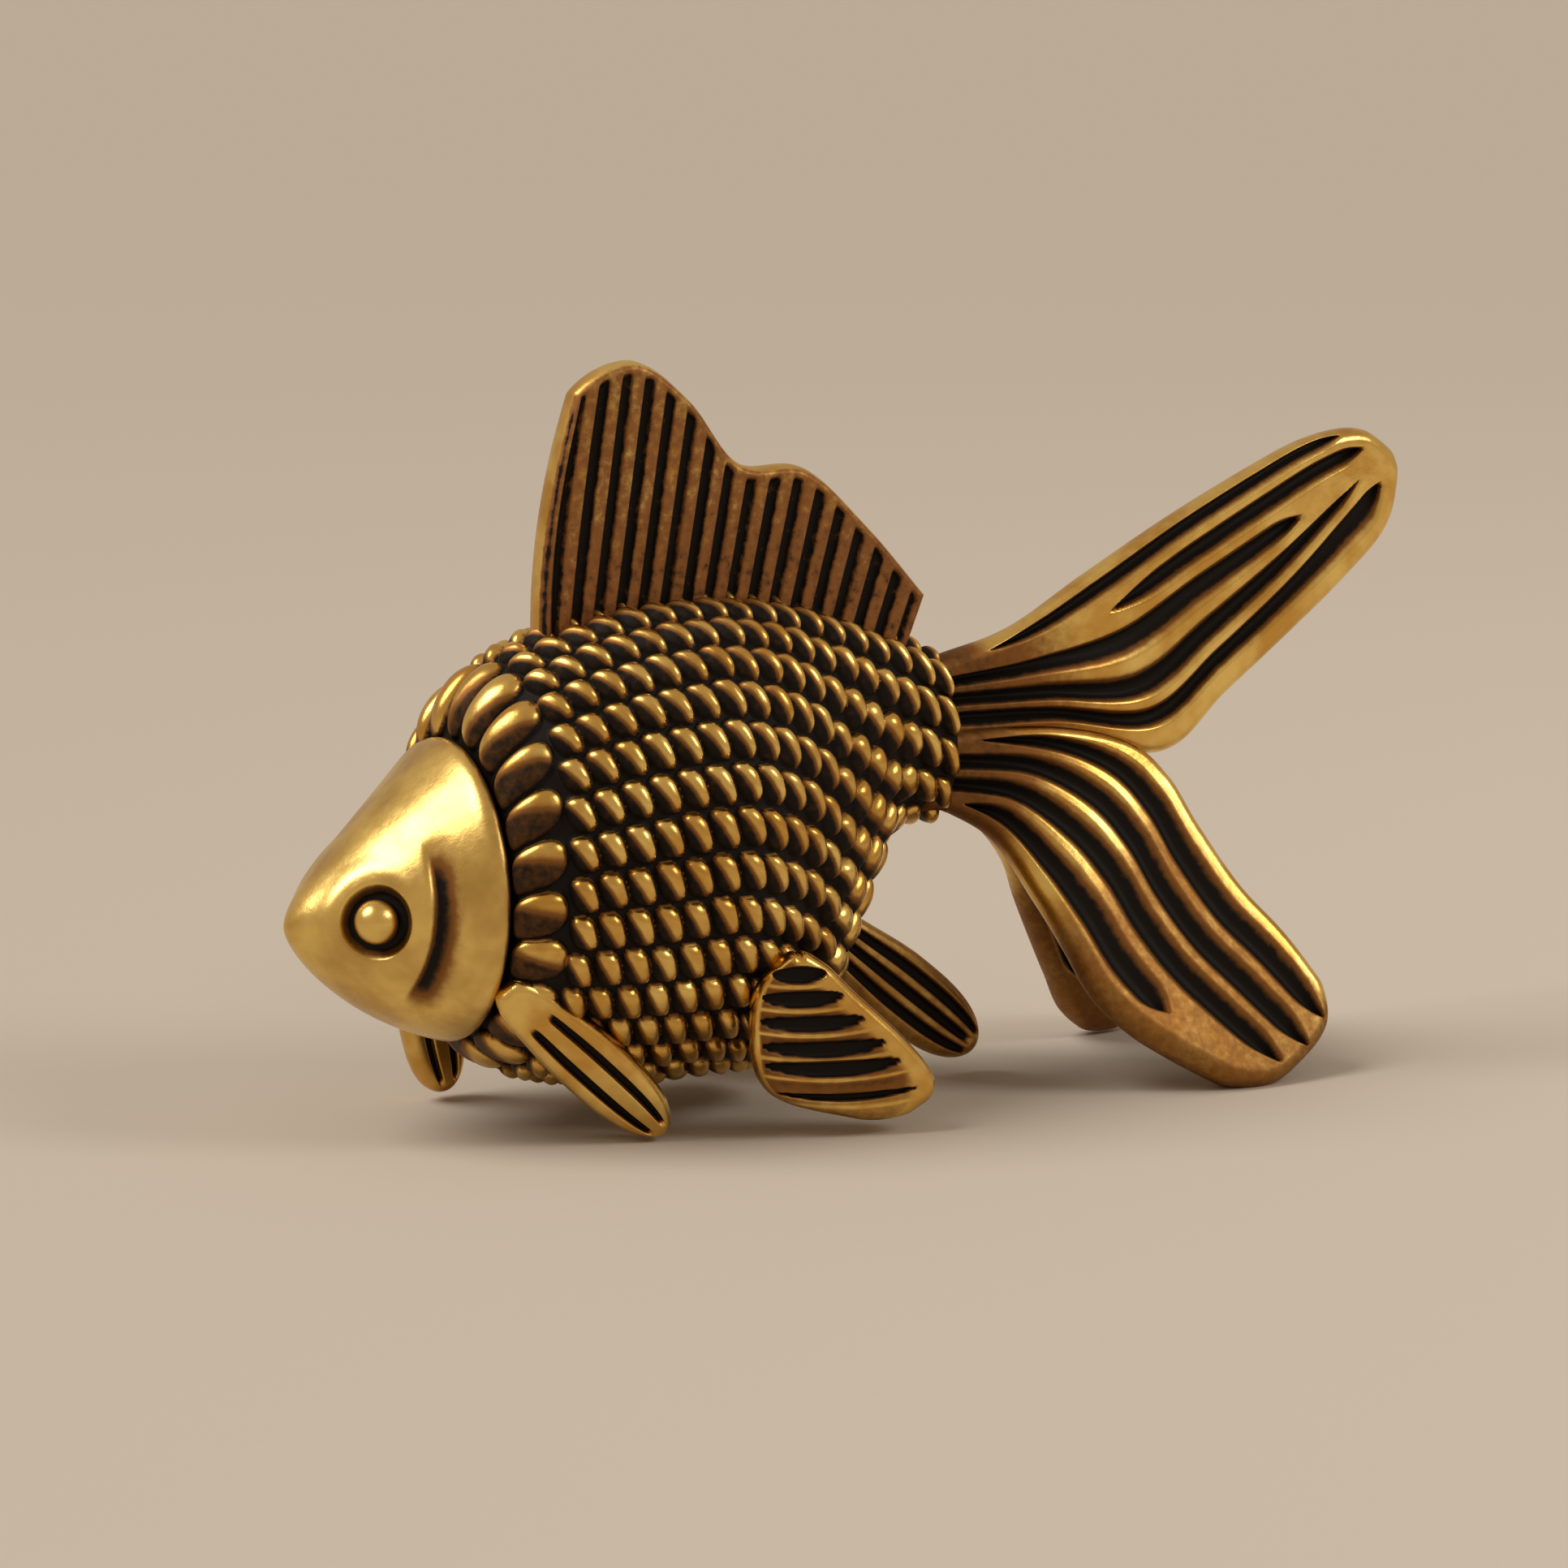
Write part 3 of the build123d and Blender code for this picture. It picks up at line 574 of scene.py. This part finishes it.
def scale_relief(reach, from_back, edges, cells):
    """Height and brightness of the scales, with painted shade on their lower fronts: the highest of those
    that reach each place.
    """
    last = len(cells) - 1
    own = np.clip(np.searchsorted(edges, reach, side="right") - 1, 0, last)
    relief = np.zeros(reach.shape)
    polish_and_shade = np.zeros(reach.shape)
    for column_step in (-1, 0, 1):
        column = np.clip(own + column_step, 0, last)
        for row_step in (-1, 0, 1):
            height, bright = scale_beads(reach, from_back, edges, cells, column, row_step)
            polish_and_shade = np.where(height > relief, bright, polish_and_shade)
            relief = np.maximum(height, relief)
    return relief, polish_and_shade


def make_body():
    fine = np.linspace(0, 1, SPACING_STEPS) ** 2
    rise = (np.abs(np.gradient(body_top(fine))) + np.abs(np.gradient(body_half_width(fine)))) / 2
    lengths = np.cumsum(np.hypot(np.gradient(fine) * BODY_LENGTH, rise))
    lengths = lengths - lengths[0]
    reach = np.linspace(0, lengths[-1], BODY_ROWS)
    u = np.interp(reach, lengths, fine)[:, None]
    angles = np.linspace(np.pi / 2, -np.pi / 2, BODY_HALF_COLUMNS)[None, :]
    top, bottom = body_top(u), body_bottom(u)
    x = np.broadcast_to(NECK_X + u * BODY_LENGTH, (u.size, angles.size))
    y = -body_half_width(u) * np.cos(angles)
    z = (top + bottom) / 2 + (top - bottom) / 2 * np.sin(angles)
    side = np.stack([x, y, z], axis=-1)
    from_back = edge_distances(side)[2]
    half_girth = from_back[:, -1:]
    edges = scale_edges(reach[-1])
    cells = scale_cells(edges, reach, u[:, 0], half_girth[:, 0])
    spread_reach = np.broadcast_to(reach[:, None], from_back.shape)
    # The scales' brightness carries painted shade and painted highlight as well as dark gaps between beads
    relief, polish_and_shade = scale_relief(spread_reach, from_back / half_girth, edges, cells)
    other = side[:, -2:0:-1] * (1, -1, 1)
    rings = np.concatenate([side, other], axis=1)
    relief, polish_and_shade = (np.concatenate([half, half[:, -2:0:-1]], axis=1) for half in (relief, polish_and_shade))
    rings = rings + ring_normals(rings) * (relief[..., None] - SCALE_SEAT) * SCALE_RELIEF
    rings[..., 0] = np.clip(rings[..., 0], NECK_X, COLLAR_X)
    cast_rings("scaled_body", "body_shell", rings, polish_and_shade, SCALE_BRASS)


# Head with eyes and gill lines
def head_middle(t):
    return blend(HEAD_MIDDLE, NOSE_HEIGHT, t) - HEAD_SAG * 4 * t * (1 - t)


EYE_SCALE = (1 - EYE_STATION) ** HEAD_TAPER
EYE_SLOPE = HEAD_TAPER * HEAD_HALF_WIDTH * (1 - EYE_STATION) ** (HEAD_TAPER - 1) / HEAD_LENGTH
EYE_OUT = unit(np.array((-EYE_SLOPE, -1, 0)))
EYE_BACK = unit(np.array((1, -EYE_SLOPE, 0)))
EYE_SIDE = HEAD_HALF_WIDTH * EYE_SCALE * math.sqrt(1 - (EYE_LIFT / (HEAD_HALF_DEPTH * EYE_SCALE)) ** 2)
EYE_PLACE = np.array(
    (NECK_X - EYE_STATION * HEAD_LENGTH, -EYE_SIDE, head_middle(EYE_STATION) + EYE_LIFT)
)


def make_head():
    angles = np.linspace(0, 2 * np.pi, HEAD_COLUMNS, endpoint=False)[None, :]
    w = np.concatenate([1 - np.linspace(0, 1, 12) ** 2 * 0.06, np.linspace(0.93, 0, 120)])[:, None]
    t = 1 - w ** (1 / HEAD_TAPER)
    x = np.broadcast_to(NECK_X - t * HEAD_LENGTH, (w.size, angles.size))
    y = HEAD_HALF_WIDTH * w * np.cos(angles)
    z = head_middle(t) + HEAD_HALF_DEPTH * w * np.sin(angles)
    rings = np.stack([x, y, z], axis=-1)
    from_eye = rings * (1, 0, 1) - np.abs(rings) * (0, 1, 0) - EYE_PLACE
    back = from_eye @ EYE_BACK
    up = from_eye @ UP
    from_pupil = np.hypot(back, up)
    recess = 1 - step(from_pupil, 0.78 * EYE_RECESS_RADIUS, 1.04 * EYE_RECESS_RADIUS)
    gill_back, gill_up = back - GILL_CENTRE[0], up - GILL_CENTRE[1]
    gap = np.hypot(gill_back, gill_up) - GILL_RADIUS
    bearing = np.arctan2(gill_up, gill_back)
    low_end = step(bearing, GILL_LOW - 0.12, GILL_LOW + 0.2)
    high_end = 1 - step(bearing, GILL_HIGH - 0.3, GILL_HIGH + 0.1)
    spread = low_end * high_end
    gill = np.where(gap < 0, hump(gap, GILL_FRONT_WIDTH), hump(gap, GILL_REAR_WIDTH)) * spread
    cheek = hump(from_pupil - CHEEK_RADIUS, CHEEK_WIDTH) * CHEEK_RISE
    lip = 1 - swell(share(1 - w, 0, LIP_SHARE))
    inward = recess * EYE_RECESS_DEPTH + gill * GILL_DEPTH - cheek + lip * LIP_RADIUS
    rings = rings - ring_normals(rings) * inward[..., None]
    rings[..., 0] = np.maximum(rings[..., 0], NOSE_X)
    neck = rings[:1] - (0, 0, HEAD_MIDDLE)
    narrow = neck * (1, NECK_INSET, NECK_INSET)
    inside = [narrow + (k * NECK_TUCK, 0, HEAD_MIDDLE) for k in (2, 1)]
    rings = np.concatenate(inside + [rings])
    polish_and_shade = np.clip(1 - recess - gill * 0.95 - lip * 0.5, 0, 1)
    polish_and_shade = np.concatenate([np.zeros((2, polish_and_shade.shape[1])), polish_and_shade])
    cast_rings("smooth_head", "head", rings, polish_and_shade, HEAD_BRASS)


def make_eye(piece, node, side):
    angles = np.linspace(0, 2 * np.pi, 48, endpoint=False)[None, :, None]
    tilt = np.linspace(-0.35, np.pi / 2, 26)[:, None, None]
    across = EYE_BACK * np.cos(angles) + UP * np.sin(angles)
    centre = EYE_PLACE - EYE_OUT * (EYE_RECESS_DEPTH - EYE_PROUD)
    rings = centre + (across * np.cos(tilt) + EYE_OUT * np.sin(tilt)) * EYE_RADIUS
    polish_and_shade = np.broadcast_to(step(tilt[..., 0], 0.0, 0.4), rings.shape[:2])
    cast_rings(piece, node, rings * (1, side, 1), polish_and_shade, HEAD_BRASS)


# Fins
def groove_cut(across, count, width):
    """One in the middle of each groove and nothing on the ribs, with ribs at both ends."""
    from_groove = np.abs((across * count) % 1 - 0.5)
    return 1 - step(from_groove, 0.3 * width, 0.72 * width)


def make_dorsal():
    t = stops(90)[:, None, None]
    s_front = np.linspace(0, DORSAL_FRONT_SHARE, DORSAL_GROOVE_STEPS, endpoint=False)
    s_rear = np.linspace(DORSAL_FRONT_SHARE, 1, DORSAL_GROOVES * DORSAL_GROOVE_STEPS)
    s = np.concatenate([s_front, s_rear])
    front = np.array((NECK_X + DORSAL_STATION * BODY_LENGTH, body_top(DORSAL_STATION)))
    crest = front + smooth_line(DORSAL_FORM, np.linspace(0, 1, 2000)) * (DORSAL_LENGTH, DORSAL_HEIGHT)
    base_x = front[0] + s * DORSAL_LENGTH
    base = np.stack([base_x, body_top((base_x - NECK_X) / BODY_LENGTH) - DORSAL_SINK], axis=1)
    lean = np.tan(blend(DORSAL_LEAN_FRONT, DORSAL_LEAN_REAR, s ** 2))
    tops = []
    for foot, slope in zip(base, lean):
        ahead = crest[:, 0] - foot[0] - slope * (crest[:, 1] - foot[1])
        reached = max(np.flatnonzero(ahead <= 0).max(), int(DORSAL_SHOULDER * len(crest)))
        tops.append(crest[reached])
    flat = blend(base[None], np.array(tops)[None], t)
    flat[..., 0] -= DORSAL_BULGE * np.exp(-s / 0.05) * 4 * t[..., 0] * (1 - t[..., 0])
    middle = np.stack([flat[..., 0], np.zeros(flat.shape[:2]), flat[..., 1]], axis=-1)
    foot, crown, ahead, behind = edge_distances(middle)
    crest_edge = np.minimum(crown, behind)
    edge = np.minimum(crest_edge, ahead)
    grooves = groove_cut(np.broadcast_to(s, edge.shape), DORSAL_GROOVES, DORSAL_GROOVE_WIDTH)
    cut = grooves * step(edge, 0.3, 0.6)
    rim = 1 - np.minimum(step(crest_edge, 0.1, 0.24), step(ahead, 0.04, 0.09))
    front_line = hump(ahead - 0.16, 0.06) * step(crown, 0.4, 1.0)
    ribs = blend(0.38, 0.52, step(foot, 1.5, 5.0))
    polish_and_shade = np.maximum(rim, ribs) * (1 - step(cut, 0.15, 0.6)) * (1 - 0.9 * front_line)
    look = (cut, DORSAL_GROOVE_DEPTH, polish_and_shade, DORSAL_ROUNDING, SAIL_BRASS)
    cast_fin("dorsal_sail", "dorsal_fin", middle, DORSAL_THICKNESS, *look)


def cast_leaf(piece, node, root, tip, facing, width, thickness, grooves, shine, mirrored=False):
    """A leaf-shaped blade that widens from its root and ends round, with grooves along it."""
    count, groove_width, start = grooves
    t = np.sin(np.linspace(0, np.pi / 2, 130))[:, None, None]
    s = stops(70)[None, :, None]
    across = unit(np.cross(tip - root, facing))
    rounded = blend(0.3, 1, swell(share(t, 0, 0.16))) * np.sqrt(1 - share(t, LEAF_WIDEST, 1) ** 3)
    half = width / 2 * blend(LEAF_ROOT_SHARE, 1, step(t, 0, LEAF_WIDEST)) * rounded
    middle = blend(root, tip, t) + across * half * (2 * s - 1)
    from_root, from_end = edge_distances(middle)[:2]
    inner = np.broadcast_to(np.clip((s[..., 0] - 0.12) / 0.76, 0, 1), from_end.shape)
    run = step(from_end, 0.4, 0.9) * step(from_root, start, start + 0.6)
    cut = groove_cut(inner, count, groove_width) * run
    polish_and_shade = shine * (1 - step(cut, 0.15, 0.6))
    look = (cut, LEAF_GROOVE_DEPTH, polish_and_shade, LEAF_ROUNDING, FIN_BRASS)
    cast_fin(piece, node, middle, thickness, *look, mirrored)


def make_pectorals():
    shoulder, outward = body_point(PECTORAL_STATION, PECTORAL_ANGLE)
    form = (PECTORAL_WIDTH, PECTORAL_THICKNESS, PECTORAL_GROOVES)
    for piece, node, reach, mirrored in (
        ("left_front_fin", "left_pectoral_fin", LEFT_PECTORAL_REACH, False),
        ("right_front_fin", "right_pectoral_fin", RIGHT_PECTORAL_REACH, True),
    ):
        tip = np.array((shoulder[0] + reach[0], shoulder[1] + reach[1], PECTORAL_TIP_LIFT))
        root = shoulder - outward * SCALE_RELIEF - unit(tip - shoulder) * PECTORAL_LEAD
        cast_leaf(piece, node, root, tip, outward, *form, 1, mirrored)


def make_pelvics():
    hip, outward = body_point(PELVIC_STATION, PELVIC_ANGLE)
    along = np.array((math.cos(PELVIC_TURN), -math.sin(PELVIC_TURN), 0))
    corner = np.array((hip[0], hip[1] - PELVIC_THICKNESS / 2, PELVIC_LIFT))
    t = stops(100)[:, None, None]
    s = stops(130)
    size = (PELVIC_LENGTH, PELVIC_DEPTH)
    near = smooth_line(PELVIC_ROOT_EDGE, s)[None] * size
    far = smooth_line(PELVIC_OUTER_EDGE, s)[None] * size
    flat = blend(near, far, 0.5 + (t - 0.5) * blend(0.2, 1, swell(share(s, 0, 0.12)))[:, None])
    sag = PELVIC_SAG * 4 * t[..., 0] * (1 - t[..., 0]) * np.linalg.norm(far - near, axis=2)
    flat[..., 1] -= sag
    middle = corner + flat[..., :1] * along + flat[..., 1:] * UP
    from_root, from_outer = edge_distances(middle)[:2]
    opening = np.sqrt(np.sin(np.pi * share(t[..., 0], 0.05, 0.88))) + 1e-3
    levels = np.array(PELVIC_GROOVE_LEVELS)[:, None, None]
    above = near[..., 1] / PELVIC_DEPTH - levels
    slit = opening * blend(0.5, 1, step(levels, 0.2, 0.4))
    cut = (1 - step(np.abs(above), 0.03 * slit, 0.058 * slit)).max(axis=0) * step(opening, 0, 0.4)
    rim = 1 - step(from_outer, 0.45, 1.3) * step(from_root, 0.12, 0.3)
    line = hump(above + 0.064, 0.011).max(axis=0)
    ribs = blend(0.62, 0.3, step(near[..., 1] / PELVIC_DEPTH, 0.2, 0.3))
    polish_and_shade = blend(ribs, 1, np.maximum(rim, line)) * (1 - step(cut, 0.15, 0.6))
    look = (cut, PELVIC_GROOVE_DEPTH, polish_and_shade, PELVIC_ROUNDING, FIN_BRASS)
    for piece, node, mirrored in (
        ("left_hip_fin", "left_pelvic_fin", False),
        ("right_hip_fin", "right_pelvic_fin", True),
    ):
        cast_fin(piece, node, middle, PELVIC_THICKNESS, *look, mirrored)


def make_anal():
    vent = np.array((NECK_X + ANAL_STATION * BODY_LENGTH, 0, body_bottom(ANAL_STATION)))
    tip = vent + (ANAL_REACH, 0, -ANAL_DROP)
    root = vent - unit(tip - vent) * ANAL_SINK
    form = (ANAL_WIDTH, ANAL_THICKNESS, ANAL_GROOVES)
    cast_leaf("under_fin", "anal_fin", root, tip, LEFT, *form, ANAL_SHINE)


# Tail
def upper_spot(a, b):
    return (COLLAR_X + a * TAIL_LENGTH, 0, UPPER_LOBE_LEVEL + b * UPPER_LOBE_RISE)


def lower_spot(a, spread, c):
    return (COLLAR_X + a * LOWER_LOBE_REACH, -spread * LOWER_LOBE_SPREAD, c * LOWER_LOBE_LEVEL)


def furrow_shape(across, t, furrows, rims):
    """Nearness to a ridge, from nothing in a furrow's middle to one, narrowing towards its ends."""
    starts, ends, paths = (np.array(column) for column in zip(*furrows))
    p = np.clip(t, 0, 1)
    centres = np.stack([(1 - p) * (1 - 2 * p), 4 * p * (1 - p), p * (2 * p - 1)], axis=-1) @ paths.T
    edge = np.ones_like(centres[..., :1])
    between = (centres[..., 1:] + centres[..., :-1]) / 2
    ridges = np.concatenate([edge * rims[0], between, edge * (1 - rims[1])], axis=-1)
    k = (across[..., None] >= between).sum(axis=-1)

    def own(values):
        spread = np.broadcast_to(values, across.shape + values.shape[-1:])
        return np.take_along_axis(spread, k[..., None], axis=-1)[..., 0]

    off = across - own(centres)
    half = np.where(off < 0, own(centres - ridges[..., :-1]), own(ridges[..., 1:] - centres))
    run = step(t, starts[k], starts[k] + 0.1) * (1 - step(t, ends[k] - 0.08, ends[k]))
    near = np.abs(off) / np.maximum(half, 0.01) / np.sqrt(run + 1e-9)
    return np.where(run > 0.01, np.clip(near, 0, 1), 1)


def cast_lobe(piece, node, pairs, furrows, rims, corners, bulge, dim, mirrored=False):
    """A tail lobe between two edges, with furrows from its root to its rounded end."""
    turn, corner, taper = corners
    straight = np.linspace(0, turn, 130, endpoint=False)
    rounded = blend(turn, 1, np.sin(np.linspace(0, np.pi / 2, 26)))
    t = np.concatenate([[-LOBE_ROOT, -LOBE_ROOT / 2], straight, rounded])[:, None]
    drawn_in = 2 * corner * (1 - np.sqrt(1 - share(t, turn, 1) ** 2))
    s = 0.5 + (stops(150)[None, :] - 0.5) * (1 - drawn_in)
    place = np.clip(t, 0, 1) * (1 + bulge - taper * np.abs(2 * s - 1) ** 3)
    first, second = (smooth_line(points, place) for points in zip(*pairs))
    middle = blend(first, second, s[..., None])
    middle[..., 0] += np.minimum(t, 0) / LOBE_ROOT * LOBE_TUCK
    near_ridge = furrow_shape(s, t, furrows, rims)
    cut = 1 - step(near_ridge, 0.05, 0.85)
    # The ridges are darker near the root and, by dim, darker further along the lobe
    level = blend(0.3, 1, step(t, 0.05, 0.32)) * (1 - dim * step(t, 0.2, 0.5))
    level = blend(np.maximum(level, step(t, 0.0, 0.12)), level, step(s, 0.04, 0.14))
    polish_and_shade = step(near_ridge, 0.28, 0.85) * level
    look = (cut, LOBE_FURROW_DEPTH, polish_and_shade, LOBE_ROUNDING, FIN_BRASS)
    cast_fin(piece, node, middle, LOBE_THICKNESS, *look, mirrored)


def make_tail():
    upper = [[upper_spot(*spot) for spot in pair] for pair in UPPER_LOBE_FORM]
    left, right = (
        [[lower_spot(*spot) for spot in pair] for pair in form]
        for form in (LEFT_LOBE_FORM, RIGHT_LOBE_FORM)
    )
    upper_look = (UPPER_LOBE_FURROWS, UPPER_LOBE_RIMS, UPPER_LOBE_CORNERS)
    lower_look = (LOWER_LOBE_FURROWS, LOWER_LOBE_RIMS, LOWER_LOBE_CORNERS)
    cast_lobe("raised_tail", "upper_tail_lobe", upper, *upper_look, bulge=0.01, dim=0.0)
    cast_lobe("left_tail", "left_tail_lobe", left, *lower_look, bulge=0.035, dim=0.45)
    # dim=0.5 paints shade on the far lobe, which hangs behind the others
    cast_lobe("right_tail", "right_tail_lobe", right, *lower_look, bulge=0.01, dim=0.5, mirrored=True)


make_body()
make_head()
make_eye("left_eye_bead", "left_eye", 1)
make_eye("right_eye_bead", "right_eye", -1)
make_dorsal()
make_pectorals()
make_pelvics()
make_anal()
make_tail()


# Studio: pale floor, soft light and the photo's angle
FLOOR_SIZE = 6.0
PALE = (0.72, 0.62, 0.5, 1)
SKY = (0.3, 0.265, 0.225, 1)
KEY_PLACE = (-0.36, 0.1, 0.45)
KEY_STRENGTH = 1.6
KEY_SOFTNESS = math.radians(35)
FILL_PLACE = (0.2, -0.2, 0.22)
FILL_POWER = 0.25
FILL_SIZE = 0.12
VIEW_TARGET = Vector((-3.407, 0, 10.4)) * MM
VIEW_DISTANCE = 143.061 * MM
VIEW_AZIMUTH = math.radians(-28)
VIEW_ELEVATION = math.radians(8.5)
LENS = 100
SENSOR = 36


def make_floor():
    half = FLOOR_SIZE / 2
    mesh = bpy.data.meshes.new("studio_floor")
    corners = [(-half, -half, 0), (half, -half, 0), (half, half, 0), (-half, half, 0)]
    mesh.from_pydata(corners, [], [(0, 1, 2, 3)])
    material = bpy.data.materials.new("pale_floor")
    material.use_nodes = True
    surface = material.node_tree.nodes["Principled BSDF"]
    surface.inputs["Base Color"].default_value = PALE
    surface.inputs["Specular IOR Level"].default_value = 0
    mesh.materials.append(material)
    floor = bpy.data.objects.new("studio_floor", mesh)
    bpy.context.scene.collection.objects.link(floor)


def aim(lamp, place):
    lamp.location = place
    lamp.rotation_euler = (VIEW_TARGET - Vector(place)).to_track_quat("-Z", "Y").to_euler()
    bpy.context.scene.collection.objects.link(lamp)


def make_lights():
    key = bpy.data.lights.new("key_light", "SUN")
    key.energy = KEY_STRENGTH
    key.angle = KEY_SOFTNESS
    aim(bpy.data.objects.new("key_light", key), KEY_PLACE)
    fill = bpy.data.lights.new("fill_light", "AREA")
    fill.energy = FILL_POWER
    fill.size = FILL_SIZE
    aim(bpy.data.objects.new("fill_light", fill), FILL_PLACE)


def make_world():
    world = bpy.data.worlds.new("studio")
    world.use_nodes = True
    tree = world.node_tree
    steepness = (Vector(KEY_PLACE) - VIEW_TARGET).normalized().z
    key_share = KEY_STRENGTH * steepness / math.pi
    far_floor = [pale * (key_share + sky) for pale, sky in zip(PALE[:3], SKY)] + [1]
    looked_at, mirrored, through = (
        Tone.node(tree, "ShaderNodeLightPath", {}, {}, f"Is {kind} Ray")
        for kind in ("Camera", "Glossy", "Transmission")
    )
    seen = looked_at + mirrored + through
    Tone.feed(tree, tree.nodes["Background"].inputs["Color"], seen.mix(SKY, far_floor))
    bpy.context.scene.world = world


def make_camera():
    lens = bpy.data.cameras.new("photo_view")
    lens.lens = LENS
    lens.sensor_width = SENSOR
    lens.clip_start = 0.005
    lens.clip_end = 10.0
    level = math.cos(VIEW_ELEVATION)
    sideways, ahead = math.sin(VIEW_AZIMUTH), math.cos(VIEW_AZIMUTH)
    back = Vector((sideways * level, -ahead * level, math.sin(VIEW_ELEVATION)))
    camera = bpy.data.objects.new("photo_view", lens)
    camera.location = VIEW_TARGET + back * VIEW_DISTANCE
    camera.rotation_euler = back.to_track_quat("Z", "Y").to_euler()
    bpy.context.scene.collection.objects.link(camera)
    bpy.context.scene.camera = camera


make_floor()
make_lights()
make_world()
make_camera()
bpy.context.scene.view_settings.view_transform = "Standard"
